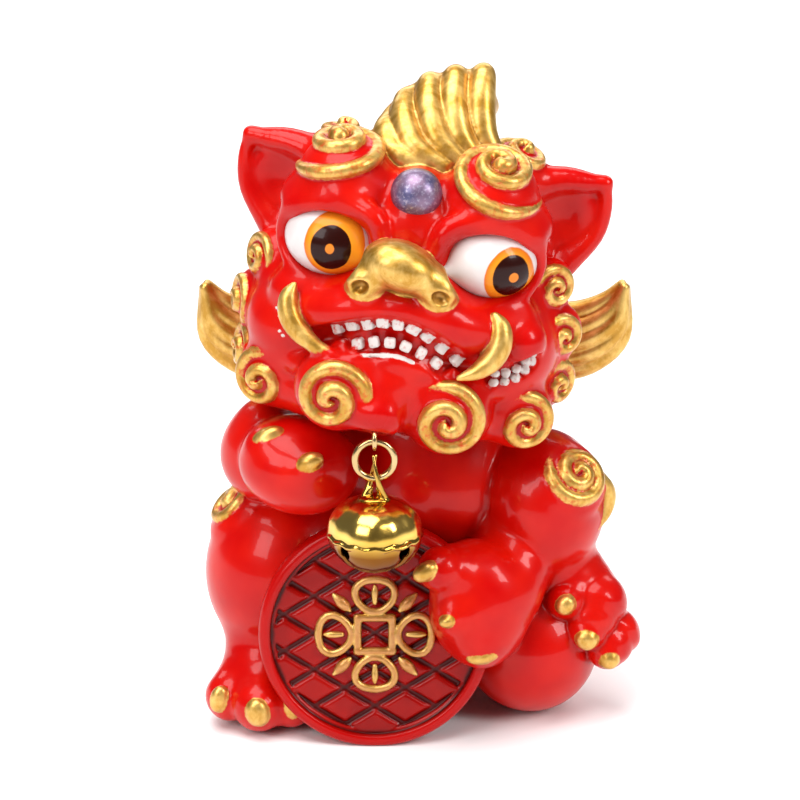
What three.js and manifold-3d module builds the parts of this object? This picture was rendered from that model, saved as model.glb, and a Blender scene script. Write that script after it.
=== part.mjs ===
// Foo dog statue: a squatting guardian lion in lacquered resin, one forepaw raised, the other
// on the rim of an upright coin, with a jingle bell on a jump ring under the chin.
// Millimetres, +Z up. The lion faces -Y, so +X is on the right of someone who looks at it.

import * as THREE from 'three';
import { mergeVertices } from 'three/addons/utils/BufferGeometryUtils.js';
import Module from 'manifold-3d';

const wasm = await Module();
wasm.setup();

// ---- driving dimensions -------------------------------------------------------------------

const GAP = 0.3; // air between two seated pieces

const HEAD_CENTRE = [-0.5, -5, 57.2];
const HEAD_ROLL = 6.7; // degrees, the crown leans towards +X
const HEAD_YAW = 5.7; // degrees, the face turns towards -X

const COIN_RADIUS = 14.8;
const COIN_THICK = 3.4;
const COIN_RIM = 1.3;
const COIN_RECESS = 0.9;
const COIN_LEAN = 8; // degrees, the top leans back
const COIN_FOOT = [-5.1, -18.6, -0.25]; // middle of the coin's lowest edge, sunk below its flat
const LATTICE_PITCH = 4.1;
const LATTICE_GROOVE = 0.7;
const LATTICE_DEPTH = 0.45;
const LATTICE_LINES = 3; // on each side of the middle one
const LATTICE_SLOPE = 32; // degrees from level

const HANG_X = -5; // the plumb line of the ring and the bell
const HANG_Y = -24.6;
const EYELET_Z = 43.8;
const EYELET_RADIUS = 1.15; // to the middle of the wire
const EYELET_WIRE = 0.32;
const RING_RADIUS = 2.35; // to the middle of the wire
const RING_WIRE = 0.38;
const HANG_CLEARANCE = 0.06; // air where one wire hangs in the next

const BELL_RADIUS = 5.9;
const BELL_HEIGHT = 9.3;
const BELL_WALL = 0.45;
const BELL_SLOT = 0.76; // width of a slot
const SLOT_LENGTH = 9.9;
const BELL_HOLE = 0.75;
const BELL_DROP = 7.35; // from the ring's lowest wire to the bell's middle
const SHANK_EYE = 0.62;
const PELLET_RADIUS = 1.5;

// ---- colours ------------------------------------------------------------------------------

const LACQUER = { color: 0xc00a04, roughness: 0.22, metalness: 0.0 };
const GOLD_PAINT = { color: 0xc8942c, roughness: 0.35, metalness: 0.7 };
const IVORY = { color: 0xece3dd, roughness: 0.3, metalness: 0.0 };
const PEARL = { color: 0x9a93b4, roughness: 0.18, metalness: 0.1 };
const BRASS = { color: 0xe3b94a, roughness: 0.16, metalness: 1.0 };
const STEEL = { color: 0x8d8d90, roughness: 0.35, metalness: 1.0 };

// ---- solids -------------------------------------------------------------------------------

const radians = THREE.MathUtils.degToRad;

// A closed geometry as a solid for joining and cutting.
function solid(geometry) {
  geometry.deleteAttribute('normal');
  geometry.deleteAttribute('uv');
  const merged = mergeVertices(geometry, 1e-4);
  return new wasm.Manifold(new wasm.Mesh({
    numProp: 3,
    vertProperties: merged.attributes.position.array,
    triVerts: new Uint32Array(merged.index.array),
  }));
}

// The solid's faces as a geometry, moved by a matrix if one is given.
function faces(piece, matrix = new THREE.Matrix4()) {
  const mesh = piece.getMesh();
  const geometry = new THREE.BufferGeometry();
  geometry.setAttribute('position', new THREE.Float32BufferAttribute(mesh.vertProperties, 3));
  geometry.setIndex(new THREE.BufferAttribute(mesh.triVerts, 1));
  geometry.applyMatrix4(matrix);
  return geometry;
}

// A frame whose +Z looks along a direction, spun about it and set at a point.
function frameAt(at, facing, spin = 0) {
  const toward = new THREE.Vector3(...facing).normalize();
  const aim = new THREE.Quaternion().setFromUnitVectors(new THREE.Vector3(0, 0, 1), toward);
  const twist = new THREE.Quaternion().setFromAxisAngle(toward, radians(spin));
  const matrix = new THREE.Matrix4().makeRotationFromQuaternion(twist.multiply(aim));
  return matrix.setPosition(...at);
}

// Shapes are functions of `grow`, the distance that their surface is moved outwards, so that
// a neighbour can be cut by a slightly larger copy and keep its gap.

// An ellipsoid, turned by angles in degrees about X, Y and Z.
function ball(at, radii, turn = [0, 0, 0], steps = [9, 6]) {
  return (grow = 0) => {
    const geometry = new THREE.SphereGeometry(1, ...steps);
    geometry.rotateX(Math.PI / 2);
    geometry.scale(...radii.map((radius) => radius + grow));
    const turned = new THREE.Euler(...turn.map(radians), 'XYZ');
    geometry.applyMatrix4(new THREE.Matrix4().makeRotationFromEuler(turned));
    geometry.translate(...at);
    return solid(geometry);
  };
}

// A tapered limb with a round end of its own radius at each of its two points.
function limb(from, to, fromRadius, toRadius, sides = 7, arcSteps = 2) {
  return (grow = 0) => {
    const start = new THREE.Vector3(...from);
    const span = new THREE.Vector3(...to).sub(start);
    const length = span.length();
    const low = fromRadius + grow;
    const high = toRadius + grow;
    const slope = Math.asin(THREE.MathUtils.clamp((low - high) / length, -0.95, 0.95));
    const profile = [];
    for (let step = 0; step <= arcSteps; step += 1) {
      const angle = -Math.PI / 2 + (slope + Math.PI / 2) * (step / arcSteps);
      profile.push(new THREE.Vector2(low * Math.cos(angle), low * Math.sin(angle)));
    }
    for (let step = 0; step <= arcSteps; step += 1) {
      const angle = slope + (Math.PI / 2 - slope) * (step / arcSteps);
      profile.push(new THREE.Vector2(high * Math.cos(angle), length + high * Math.sin(angle)));
    }
    profile[0].x = 0;
    profile[profile.length - 1].x = 0;
    const geometry = new THREE.LatheGeometry(profile, sides);
    geometry.rotateX(Math.PI / 2);
    geometry.applyMatrix4(frameAt(from, span.toArray()));
    return solid(geometry);
  };
}

// Limbs end to end through points, each point with a radius as its fourth number.
function tendril(points, sides = 6) {
  const links = points.slice(1).map((point, index) => {
    const before = points[index];
    return limb(before.slice(0, 3), point.slice(0, 3), before[3], point[3], sides, 1);
  });
  return join(...links);
}

function join(...shapes) {
  return (grow = 0) => shapes.map((shape) => shape(grow)).reduce((sum, next) => sum.add(next));
}

// Everything above the surface that the statue stands on.
function standing(piece) {
  const below = new THREE.BoxGeometry(200, 200, 100);
  below.translate(0, 0, -50);
  return piece.subtract(solid(below));
}

// A mane curl: a low boss that carries a raised spiral ridge, facing along its own +Z.
function curl({ at, facing, radius, spin = 0, hand = 1, height = 0.55, turns = 1.3 }) {
  const bossRadius = radius * 0.93;
  const bossHeight = radius * height;
  const ridge = radius * 0.155;
  const innerRadius = radius * 0.2;
  const steps = 9;
  class Spiral extends THREE.Curve {
    getPoint(t, target = new THREE.Vector3()) {
      const angle = hand * t * turns * 2 * Math.PI;
      const reach = THREE.MathUtils.lerp(innerRadius, bossRadius * 0.9, t);
      const rise = bossHeight * Math.sqrt(Math.max(0, 1 - (reach / bossRadius) ** 2));
      return target.set(reach * Math.cos(angle), reach * Math.sin(angle), rise);
    }
  }
  return (grow = 0) => {
    const frame = frameAt(at, facing, spin);
    const section = new THREE.Shape();
    section.absarc(0, 0, ridge + grow, 0, 2 * Math.PI);
    const band = new THREE.ExtrudeGeometry(section, {
      steps, curveSegments: 2, extrudePath: new Spiral(), bevelEnabled: false,
    });
    const boss = new THREE.SphereGeometry(1, 8, 5);
    boss.rotateX(Math.PI / 2);
    boss.scale(bossRadius + grow, bossRadius + grow, bossHeight + grow);
    band.applyMatrix4(frame);
    boss.applyMatrix4(frame);
    return solid(boss).add(solid(band));
  };
}

// A thin relief that lies on a core: an outline drawn in the X-Z plane, taken forwards through
// the core's front half and kept between two offsets of its surface.
function relief(outline, core, thickness) {
  const depth = 40;
  const prism = new THREE.ExtrudeGeometry(outline, { depth, bevelEnabled: false, curveSegments: 6 });
  prism.rotateX(Math.PI / 2);
  return () => solid(prism).intersect(core(GAP + thickness));
}

// ---- the scene graph ----------------------------------------------------------------------

const group = new THREE.Group();
const headGroup = new THREE.Group();
headGroup.position.set(...HEAD_CENTRE);
headGroup.rotation.set(0, radians(HEAD_ROLL), radians(-HEAD_YAW), 'YZX');
headGroup.updateMatrix();
group.add(headGroup);

function addMesh(parent, name, piece, look) {
  const geometry = faces(piece);
  geometry.computeVertexNormals();
  const mesh = new THREE.Mesh(geometry, new THREE.MeshStandardMaterial(look));
  mesh.name = name;
  parent.add(mesh);
}

// Pieces are set one after another: each is cut by the ones before it, with the gap left
// between them. A shape is given in its parent's frame, and `trim` finishes it there.
const placed = [];

function place(parent, name, shape, look, trim = (piece) => piece) {
  const toBody = parent.matrix;
  const toParent = toBody.clone().invert();
  const inBody = (grow) => solid(faces(shape(grow), toBody));
  const cut = placed.reduce((piece, next) => piece.subtract(next), inBody(0));
  placed.push(inBody(GAP));
  addMesh(parent, name, trim(solid(faces(cut, toParent))), look);
}

const SIDES = [['left', -1], ['right', 1]];

// ---- shapes of the casting ----------------------------------------------------------------

// Head, in its own frame: skull, brows, muzzle, cheeks and jaw.
const headCore = join(
  ball([0, 0, 0], [18.3, 16.8, 17.2], [0, 0, 0], [16, 10]),
  ball([0, -8.5, -6.5], [12.5, 10, 9.5]),
  ball([0, -8.5, 11.5], [5, 6.5, 6], [0, 0, 0], [10, 6]),
  ball([-1, -15.8, -8.8], [3.6, 4.9, 4.6]),
  ball([-1, -19.9, -11.5], [3.2, 1.3, 2.3], [24, 0, 0]),
  ...SIDES.flatMap(([, side]) => [
    ball([side * 6, -13.2, -0.8], [7, 6, 4.7], [0, side * 14, 0]),
    ball([side * 13.2, -6.8, -4.5], [6.4, 7.4, 6.6]),
    ball([side * 9.8, -8.6, 13], [7, 5.6, 3.6], [14, side * 12, 0]),
  ]),
);

// Seat, breast and neck.
const body = join(
  ball([0, 5, 13.5], [18, 13.5, 14.5], [0, 0, 0], [12, 8]),
  ball([1, 0.5, 28], [13, 10, 13], [0, 0, 0], [12, 8]),
  ball([1.5, -1.5, 38], [10, 9, 7]),
  ball([3, -5, 30], [10, 8, 9]),
  ball([15.1, -7.5, 8.9], [8.9, 9.2, 9.1]),
  ball([-13, 0, 9], [9, 9, 9.2]),
);

// Raised arm on the -X side: upper arm, shoulder and paw.
const raisedArm = join(
  limb([-9, -1, 34], [-19.2, -7.5, 35.4], 6.6, 5.6),
  ball([-19.6, -8, 36.4], [4.6, 6, 6.6], [0, 8, 0]),
  ball([-14.6, -14.3, 36.5], [7.7, 6.9, 6.2], [0, 14, 0], [12, 8]),
);

// Arm on the +X side that holds the coin: shoulder, forearm, paw and three fingers.
const coinArm = join(
  limb([9.5, -4, 27], [12.4, -11, 23.4], 5.6, 5.4),
  limb([12.4, -11, 23.4], [11, -14.8, 19.6], 5.4, 5.4),
  ball([8.4, -16.4, 18.3], [6.6, 5.7, 8.1], [0, 6, 0], [12, 8]),
  limb([6.5, -16.8, 22.6], [3.2, -19.7, 24.5], 4.2, 2.9),
  limb([6.4, -18.2, 18.6], [5.2, -20.1, 18.5], 3.6, 2.8),
  limb([8.7, -18, 14.7], [8.5, -19.8, 14.1], 3.6, 2.8),
);

// Leg on the -X side with its foot on the ground.
const groundedLeg = join(
  ball([-17, -4.5, 18.6], [10.2, 10.5, 12.2], [0, 8, 0], [12, 8]),
  limb([-19.5, -7, 9], [-20, -10.5, 5], 5.2, 5),
  limb([-22, -10, 5], [-23.8, -13, 3.9], 3.6, 3.3),
  limb([-20, -11, 5.4], [-20, -15.6, 4], 4, 3.6),
  limb([-17, -11, 4.8], [-16, -14.9, 3.8], 3.6, 3.2),
);

// Leg on the +X side with its foot lifted off the ground.
const liftedLeg = join(
  ball([16.6, -8, 29], [7.8, 8.6, 9.6], [0, -6, 0], [12, 8]),
  limb([17.6, -8, 21.5], [22, -9, 16], 5.4, 4.8),
  limb([20.6, -10.5, 18.2], [19.4, -12.9, 17.4], 3.2, 2.5),
  limb([23.2, -10.8, 16], [22.2, -12.8, 13.4], 4.2, 2.9),
  limb([25.4, -10.6, 11.4], [24.8, -12.4, 10.2], 3.8, 2.6),
);

const COIN_FRAME = new THREE.Matrix4()
  .makeRotationX(radians(-COIN_LEAN))
  .setPosition(...COIN_FOOT);

// The coin's disc in its own frame: its lowest edge at the origin, its face looking along -Y.
function disc(radius, fromY, toY, sides = 26) {
  const geometry = new THREE.CylinderGeometry(radius, radius, toY - fromY, sides);
  geometry.translate(0, (fromY + toY) / 2, COIN_RADIUS);
  geometry.applyMatrix4(COIN_FRAME);
  return solid(geometry);
}

const coinOutside = (grow = 0) => {
  const reach = COIN_THICK / 2 + grow;
  return disc(COIN_RADIUS + grow, -reach, reach);
};

// ---- coin, body and limbs -----------------------------------------------------------------

// A plate of one of the coin's reliefs, standing between two depths in the coin's frame.
function coinPlate(outline, fromY, toY) {
  const geometry = new THREE.ExtrudeGeometry(outline, {
    depth: toY - fromY, bevelEnabled: false, curveSegments: 8,
  });
  geometry.rotateX(Math.PI / 2);
  geometry.translate(0, toY, COIN_RADIUS);
  geometry.applyMatrix4(COIN_FRAME);
  return solid(geometry);
}

function bar(length, width, angle, offset) {
  const along = new THREE.Vector2(Math.cos(angle), Math.sin(angle));
  const across = new THREE.Vector2(-along.y, along.x);
  const corners = [[-1, -1], [1, -1], [1, 1], [-1, 1]].map(([end, edge]) => (
    along.clone().multiplyScalar(end * length / 2)
      .add(across.clone().multiplyScalar(offset + edge * width / 2))
  ));
  return new THREE.Shape(corners);
}

function engraved(disk) {
  const front = -COIN_THICK / 2;
  const floorY = front + COIN_RECESS;
  const innerRadius = COIN_RADIUS - COIN_RIM;
  let coin = disk.subtract(disc(innerRadius, front - 1, floorY));
  for (const angle of [radians(LATTICE_SLOPE), radians(-LATTICE_SLOPE)]) {
    for (let line = -LATTICE_LINES; line <= LATTICE_LINES; line += 1) {
      const offset = line * LATTICE_PITCH;
      const length = 2 * Math.sqrt((innerRadius - 0.6) ** 2 - offset ** 2);
      const groove = bar(length, LATTICE_GROOVE, angle, offset);
      coin = coin.subtract(coinPlate(groove, floorY - 0.3, floorY + LATTICE_DEPTH));
    }
  }
  return standing(coin);
}

place(group, 'coin', coinOutside, LACQUER, engraved);
place(group, 'body', body, LACQUER, standing);
place(headGroup, 'head', headCore, LACQUER);
place(group, 'grounded_leg', groundedLeg, LACQUER, standing);
place(group, 'raised_arm', raisedArm, LACQUER);
place(group, 'coin_arm', coinArm, LACQUER);
place(group, 'lifted_leg', liftedLeg, LACQUER);

// A raised motif on the coin's face: a square frame between four petals.
function makeEmblem() {
  const frameHalf = 2.8;
  const frameBar = 0.9;
  const petalReach = 7.2;
  const petalWidth = 1.9;
  const back = -COIN_THICK / 2 + COIN_RECESS - GAP;
  const front = back - 0.8;
  const square = new THREE.Shape([[-1, -1], [1, -1], [1, 1], [-1, 1]]
    .map(([x, y]) => new THREE.Vector2(x * frameHalf, y * frameHalf)));
  const opening = new THREE.Path([[-1, -1], [-1, 1], [1, 1], [1, -1]]
    .map(([x, y]) => new THREE.Vector2(x, y).multiplyScalar(frameHalf - frameBar)));
  square.holes.push(opening);
  let emblem = coinPlate(square, front, back);
  for (let quarter = 0; quarter < 4; quarter += 1) {
    const angle = quarter * Math.PI / 2;
    const turned = (x, y) => [
      x * Math.cos(angle) - y * Math.sin(angle), x * Math.sin(angle) + y * Math.cos(angle),
    ];
    const petal = new THREE.Shape();
    petal.moveTo(...turned(0, frameHalf - 0.3));
    petal.quadraticCurveTo(...turned(petalWidth * 1.4, petalReach * 0.7), ...turned(0, petalReach));
    petal.quadraticCurveTo(...turned(-petalWidth * 1.4, petalReach * 0.7), ...turned(0, frameHalf - 0.3));
    emblem = emblem.add(coinPlate(petal, front, back));
  }
  return emblem;
}

addMesh(group, 'coin_emblem', makeEmblem(), GOLD_PAINT);

// Tail: a flame that climbs the back in three licks.
const tail = join(
  tendril([[0, 15, 8, 3.4], [0, 20, 14, 4.2], [0, 20.5, 24, 4], [1.5, 19, 33, 2.4], [2.5, 20.5, 38, 0.8]]),
  tendril([[0, 20, 14, 3.4], [-5.5, 19.5, 22, 2.6], [-7.5, 19.5, 29, 0.8]]),
  tendril([[0, 20, 14, 3.4], [6, 19.5, 21, 2.6], [8.5, 19.5, 27, 0.8]]),
);
place(group, 'tail', tail, GOLD_PAINT);

// ---- the face -----------------------------------------------------------------------------

const nose = join(
  ball([-0.3, -18.2, 8], [4.9, 3.9, 3.1], [-10, 14, 0], [12, 8]),
  ...SIDES.map(([, side]) => ball([side * 4.5, -18.2, 5.8], [2.4, 2.6, 2.4], [0, side * 20, 0])),
);
const nostrils = join(...SIDES.map(([, side]) => (
  ball([side * 5, -20.8, 5.2], [1.3, 1.6, 1], [0, side * 35, 0], [6, 4])
)));
place(headGroup, 'nose', nose, GOLD_PAINT, (piece) => piece.subtract(nostrils(0)));

const pearl = ball([0, -12.4, 15.4], [3, 3, 3]);
place(headGroup, 'forehead_pearl', pearl, PEARL);

for (const [name, side] of SIDES) {
  const eye = ball([side * 9.8, -10.6, 8], [5.4, 4.7, 4.6], [0, 0, side * 16]);
  place(headGroup, `eye_${name}`, eye, IVORY);

  const tusk = tendril([
    [side * 12.4, -16, 2.8, 0.4],
    [side * 12.9, -16.5, -0.2, 1.4],
    [side * 12, -17, -2.4, 1.4],
    [side * 10.2, -17.8, -4, 1],
    [side * 8, -18.5, -4.7, 0.4],
  ]);
  place(headGroup, `tusk_${name}`, tusk, GOLD_PAINT);
}

// A row of teeth as an outline: a band along a curve, with a notch between each two teeth.
function toothRow(curve, height, count) {
  const perTooth = 2;
  const total = count * perTooth;
  const edge = (index, sign) => {
    const t = index / total;
    const middle = curve.getPoint(t);
    const normal = curve.getTangent(t).rotateAround(new THREE.Vector2(), Math.PI / 2);
    const notch = index % perTooth === 0 && index > 0 && index < total;
    const half = notch ? height * 0.2 : height / 2;
    return middle.addScaledVector(normal, sign * half);
  };
  const indices = Array.from({ length: total + 1 }, (_, index) => index);
  const lower = indices.map((index) => edge(index, -1));
  const upper = indices.map((index) => edge(index, 1)).reverse();
  return new THREE.Shape([...lower, ...upper]);
}

const TOOTH = 1.4; // height of one tooth
const TOOTH_RELIEF = 0.5;
const SIDE_TEETH = 2.4; // height of the two short rows beside each tusk
const ROW_OFFSET = 1.3; // from the mouth's middle line to the middle of either row
const MOUTH_LINE = [
  [-7.9, -2.9], [-5.8, -1.8], [-2.2, -0.4], [0.5, -0.2], [3.5, -1.2], [6.2, -3.2], [8, -5],
];
const SIDE_LINE = [[11.6, -6.6], [13.2, -6.6], [14.7, -5.8], [16.2, -4.2]];
const throughPoints = (points) => (
  new THREE.SplineCurve(points.map(([x, z]) => new THREE.Vector2(x, z)))
);
for (const [name, offset, count] of [['upper_teeth', ROW_OFFSET, 9], ['lower_teeth', -ROW_OFFSET, 8]]) {
  const line = throughPoints(MOUTH_LINE.map(([x, z]) => [x, z + offset]));
  place(headGroup, name, relief(toothRow(line, TOOTH, count), headCore, TOOTH_RELIEF), IVORY);
}
for (const [name, side] of SIDES) {
  const line = SIDE_LINE.map(([x, z]) => [side * x, z]);
  const row = toothRow(throughPoints(side < 0 ? line.reverse() : line), SIDE_TEETH, 4);
  place(headGroup, `side_teeth_${name}`, relief(row, headCore, TOOTH_RELIEF), IVORY);
}

// ---- mane and crest -----------------------------------------------------------------------

// Curls in pairs on the head: where they sit for the +X one, which way they face, and their size.
const CURL_PAIRS = [
  { name: 'brow_curl', at: [9, -8.4, 15.1], facing: [0.12, -0.3, 0.94], radius: 5.8, height: 1 },
  { name: 'crown_curl', at: [10.5, 0, 15.2], facing: [0.2, -0.1, 0.95], radius: 4.1, height: 1.15 },
  { name: 'temple_curl', at: [17.2, -4.2, 4], facing: [0.72, -0.7, 0.05], radius: 3.4 },
  { name: 'side_curl', at: [18.8, -3.6, -2.4], facing: [0.75, -0.66, -0.05], radius: 3.7 },
  { name: 'cheek_curl', at: [18.4, -2.8, -9.6], facing: [0.9, -0.48, -0.1], radius: 3.9 },
  { name: 'jaw_curl', at: [15.6, -9.1, -11.4], facing: [0.4, -0.9, -0.1], radius: 4.4 },
  { name: 'chin_curl', at: [6.8, -15.4, -10], facing: [0.1, -0.98, -0.05], radius: 5.4, height: 0.75 },
  { name: 'nape_curl', at: [9, 12.6, -4], facing: [0.5, 0.85, -0.1], radius: 5.4 },
];

for (const { name, at, facing, radius, height } of CURL_PAIRS) {
  for (const [sideName, side] of SIDES) {
    const shape = curl({
      at: [side * at[0], at[1], at[2]],
      facing: [side * facing[0], facing[1], facing[2]],
      radius,
      height,
      hand: side,
      spin: 90 - side * 90,
    });
    place(headGroup, `${name}_${sideName}`, shape, GOLD_PAINT);
  }
}

const crownBack = curl({ at: [0, 12.8, 8.2], facing: [0, 0.85, 0.5], radius: 5.4 });
place(headGroup, 'nape_curl_top', crownBack, GOLD_PAINT);

// Crest: rounded ribs side by side in a fan, each taller than the one before it.
const CREST_RIBS = 6;
const crestRibs = Array.from({ length: CREST_RIBS }, (_, rib) => {
  const share = rib / (CREST_RIBS - 1);
  const { lerp } = THREE.MathUtils;
  const footX = lerp(-2.8, 8, share);
  const footZ = lerp(16.4, 17.6, share);
  const tipX = lerp(-4.7, 5.5, share);
  const tipZ = lerp(20.6, 28, Math.sqrt(share));
  return tendril([
    [footX, lerp(-4.8, -3, share), footZ, 1.9],
    [lerp(footX, tipX, 0.45) - 1.4, -1.8, lerp(footZ, tipZ, 0.45), 2.1],
    [tipX, 0.8, tipZ, 1.5],
  ]);
});
const crest = join(...crestRibs);
place(headGroup, 'crest', crest, GOLD_PAINT);

// Ears: leaf-shaped with a rolled edge, hollowed towards the front.
for (const [name, side] of SIDES) {
  const ear = join(
    ball([side * 17.4, 1.8, 11.6], [5.6, 2, 5.6], [0, side * 25, side * 10]),
    limb([side * 12, 0.2, 14.6], [side * 21.6, 1.2, 16.4], 2.8, 0.9),
    limb([side * 21.8, 1.2, 15.6], [side * 18.4, 0.4, 5.8], 0.9, 1.8),
  );
  const hollow = ball([side * 17.8, -3, 11.8], [3.4, 3.6, 4.3], [0, side * 30, side * -10]);
  place(headGroup, `ear_${name}`, ear, LACQUER, (piece) => piece.subtract(hollow(0)));
}

// Side tufts: leaf-shaped locks that sweep out and up from behind the cheeks.
for (const [name, side] of SIDES) {
  const lowerEdge = [[14.6, 3.5, 44.2, 2.4], [22.8, 3, 45, 2.6], [26, 3, 48.6, 2], [27, 3, 54.2, 0.7]];
  const upperEdge = [[14.6, 4, 49, 2.6], [22, 3.4, 50.4, 2.2], [25.2, 3.2, 52.2, 1.4], [26.7, 3, 54.8, 0.6]];
  const locks = [lowerEdge, upperEdge].map((edge) => (
    tendril(edge.map(([x, y, z, radius]) => [side * x, y, z, radius]))
  ));
  place(group, `side_tuft_${name}`, join(...locks), GOLD_PAINT);
}

// ---- knees and claws ----------------------------------------------------------------------

const leftKnee = curl({ at: [-23, -5, 26.6], facing: [-0.72, -0.1, 0.7], radius: 4.4, height: 0.4 });
const rightKnee = curl({ at: [19.8, -11.9, 33.5], facing: [0.42, -0.62, 0.66], radius: 4.7, hand: -1 });
place(group, 'knee_curl_left', leftKnee, GOLD_PAINT);
place(group, 'knee_curl_right', rightKnee, GOLD_PAINT);

// Claws: each a nail on a toe, with its middle, radii and turn about Y.
const CLAWS = [
  { name: 'raised_claw_1', at: [-18.3, -17.3, 41.4], radii: [2, 1, 1.1], turn: -28 },
  { name: 'raised_claw_2', at: [-13, -20.6, 39.2], radii: [1.8, 1, 1.15], turn: -28 },
  { name: 'coin_claw_1', at: [1.2, -22, 25.1], radii: [1.7, 1.1, 1.2], turn: -35 },
  { name: 'coin_claw_2', at: [3.9, -22.6, 18.6], radii: [1.2, 1, 0.9], turn: -20 },
  { name: 'coin_claw_3', at: [8.3, -22.3, 13.4], radii: [1.9, 1, 0.9], turn: -10 },
  { name: 'ground_claw_1', at: [-25.2, -15.8, 4.7], radii: [1.2, 1, 1.9], turn: 12 },
  { name: 'ground_claw_2', at: [-20.1, -18.9, 4.2], radii: [1.5, 1, 1.9], turn: -8 },
  { name: 'ground_claw_3', at: [-16, -17.8, 4.2], radii: [1, 0.9, 1.5], turn: -15 },
  { name: 'lifted_claw_1', at: [19.2, -15.2, 17.6], radii: [1.2, 1, 1.4], turn: 30 },
  { name: 'lifted_claw_2', at: [22, -15.4, 12.8], radii: [1.5, 1.1, 1.4], turn: 20 },
  { name: 'lifted_claw_3', at: [25, -14.5, 9.6], radii: [1.3, 1, 1.3], turn: -20 },
];
for (const { name, at, radii, turn } of CLAWS) {
  place(group, name, ball(at, radii, [0, turn, 0], [8, 6]), GOLD_PAINT);
}

// ---- eyelet, jump ring and jingle bell ----------------------------------------------------

function makeEyelet() {
  const loop = new THREE.TorusGeometry(EYELET_RADIUS, EYELET_WIRE, 6, 16);
  loop.rotateY(Math.PI / 2);
  loop.translate(HANG_X, HANG_Y, EYELET_Z);
  const stem = limb(
    [HANG_X, HANG_Y + EYELET_RADIUS * 0.9, EYELET_Z + EYELET_RADIUS * 0.6],
    [HANG_X, HANG_Y + 4.6, EYELET_Z + 2.8], 0.45, 0.45, 6, 2,
  );
  return solid(loop).add(stem(0));
}

place(group, 'chin_eyelet', makeEyelet, BRASS);

const ringTopZ = EYELET_Z - EYELET_RADIUS + EYELET_WIRE + RING_WIRE + HANG_CLEARANCE;
const ringCentreZ = ringTopZ - RING_RADIUS;
const ringBottomZ = ringCentreZ - RING_RADIUS;

function makeJumpRing() {
  const ring = new THREE.TorusGeometry(RING_RADIUS, RING_WIRE, 8, 24);
  ring.rotateX(Math.PI / 2);
  ring.translate(HANG_X, HANG_Y, ringCentreZ);
  return solid(ring);
}
addMesh(group, 'jump_ring', makeJumpRing(), BRASS);

const bellZ = ringBottomZ - BELL_DROP;

// Bell profile from its base to its top: a slightly squat ball.
function bellProfile(radius, halfHeight) {
  const steps = 7;
  const profile = [];
  for (let step = 0; step <= steps; step += 1) {
    const angle = -Math.PI / 2 + Math.PI * (step / steps);
    profile.push(new THREE.Vector2(radius * Math.cos(angle), halfHeight * Math.sin(angle)));
  }
  profile[0].x = 0;
  profile[steps].x = 0;
  return profile;
}

function bellBall(radius, halfHeight, sides = 18) {
  const geometry = new THREE.LatheGeometry(bellProfile(radius, halfHeight), sides);
  geometry.rotateX(Math.PI / 2);
  geometry.translate(HANG_X, HANG_Y, bellZ);
  return solid(geometry);
}

const bellOutside = (grow = 0) => bellBall(BELL_RADIUS + grow, BELL_HEIGHT / 2 + grow);

function makeBellShell() {
  let shell = bellOutside(0).subtract(bellOutside(-BELL_WALL));
  for (const across of [[SLOT_LENGTH, BELL_SLOT], [BELL_SLOT, SLOT_LENGTH]]) {
    const slot = new THREE.BoxGeometry(across[0], across[1], BELL_HEIGHT);
    slot.rotateZ(radians(45));
    slot.translate(HANG_X, HANG_Y, bellZ - BELL_HEIGHT / 2);
    shell = shell.subtract(solid(slot));
  }
  for (let quarter = 0; quarter < 4; quarter += 1) {
    const angle = radians(45 + quarter * 90);
    const hole = new THREE.SphereGeometry(BELL_HOLE, 6, 5);
    const reach = BELL_RADIUS * 0.97;
    hole.translate(HANG_X + reach * Math.cos(angle), HANG_Y + reach * Math.sin(angle), bellZ - 0.6);
    shell = shell.subtract(solid(hole));
  }
  return shell;
}
addMesh(group, 'bell_shell', makeBellShell(), BRASS);

// Shank: a folded strip that narrows from the dome to an eye around the jump ring.
function makeShank() {
  const topZ = bellZ + BELL_HEIGHT / 2;
  const cone = new THREE.LatheGeometry([
    new THREE.Vector2(0, -0.6), new THREE.Vector2(1.7, -0.6), new THREE.Vector2(1.5, 0.3),
    new THREE.Vector2(0.8, 1.2), new THREE.Vector2(0.45, 1.95), new THREE.Vector2(0, 1.95),
  ], 10);
  cone.rotateX(Math.PI / 2);
  cone.translate(HANG_X, HANG_Y, topZ);
  const eye = new THREE.TorusGeometry(SHANK_EYE + 0.24, 0.24, 6, 14);
  eye.rotateY(Math.PI / 2);
  eye.translate(HANG_X, HANG_Y, ringBottomZ);
  return solid(cone).add(solid(eye)).subtract(bellOutside(GAP));
}
addMesh(group, 'bell_shank', makeShank(), BRASS);

function makePellet() {
  const pellet = new THREE.SphereGeometry(PELLET_RADIUS, 10, 7);
  const restZ = bellZ - BELL_HEIGHT / 2 + BELL_WALL + PELLET_RADIUS + GAP;
  pellet.translate(HANG_X, HANG_Y, restZ);
  return solid(pellet);
}
addMesh(group, 'bell_pellet', makePellet(), STEEL);

// The origin is under the middle of the statue, on the surface that it stands on.
const outline = new THREE.Box3().setFromObject(group);
const middle = outline.getCenter(new THREE.Vector3());
group.position.set(-middle.x, -middle.y, 0);

export default group;
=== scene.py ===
"""Foo dog statue: red and gold lacquered lion with an upright coin and a hanging jingle bell.

The casting is sculpted here as signed distance fields, in millimetres, in the casting's own
frame: +Z up, the face towards -Y. The fields are meshed and placed where the CAD frame is.
"""

import math

import bpy
import numpy as np
from mathutils import Euler, Matrix, Vector


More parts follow.
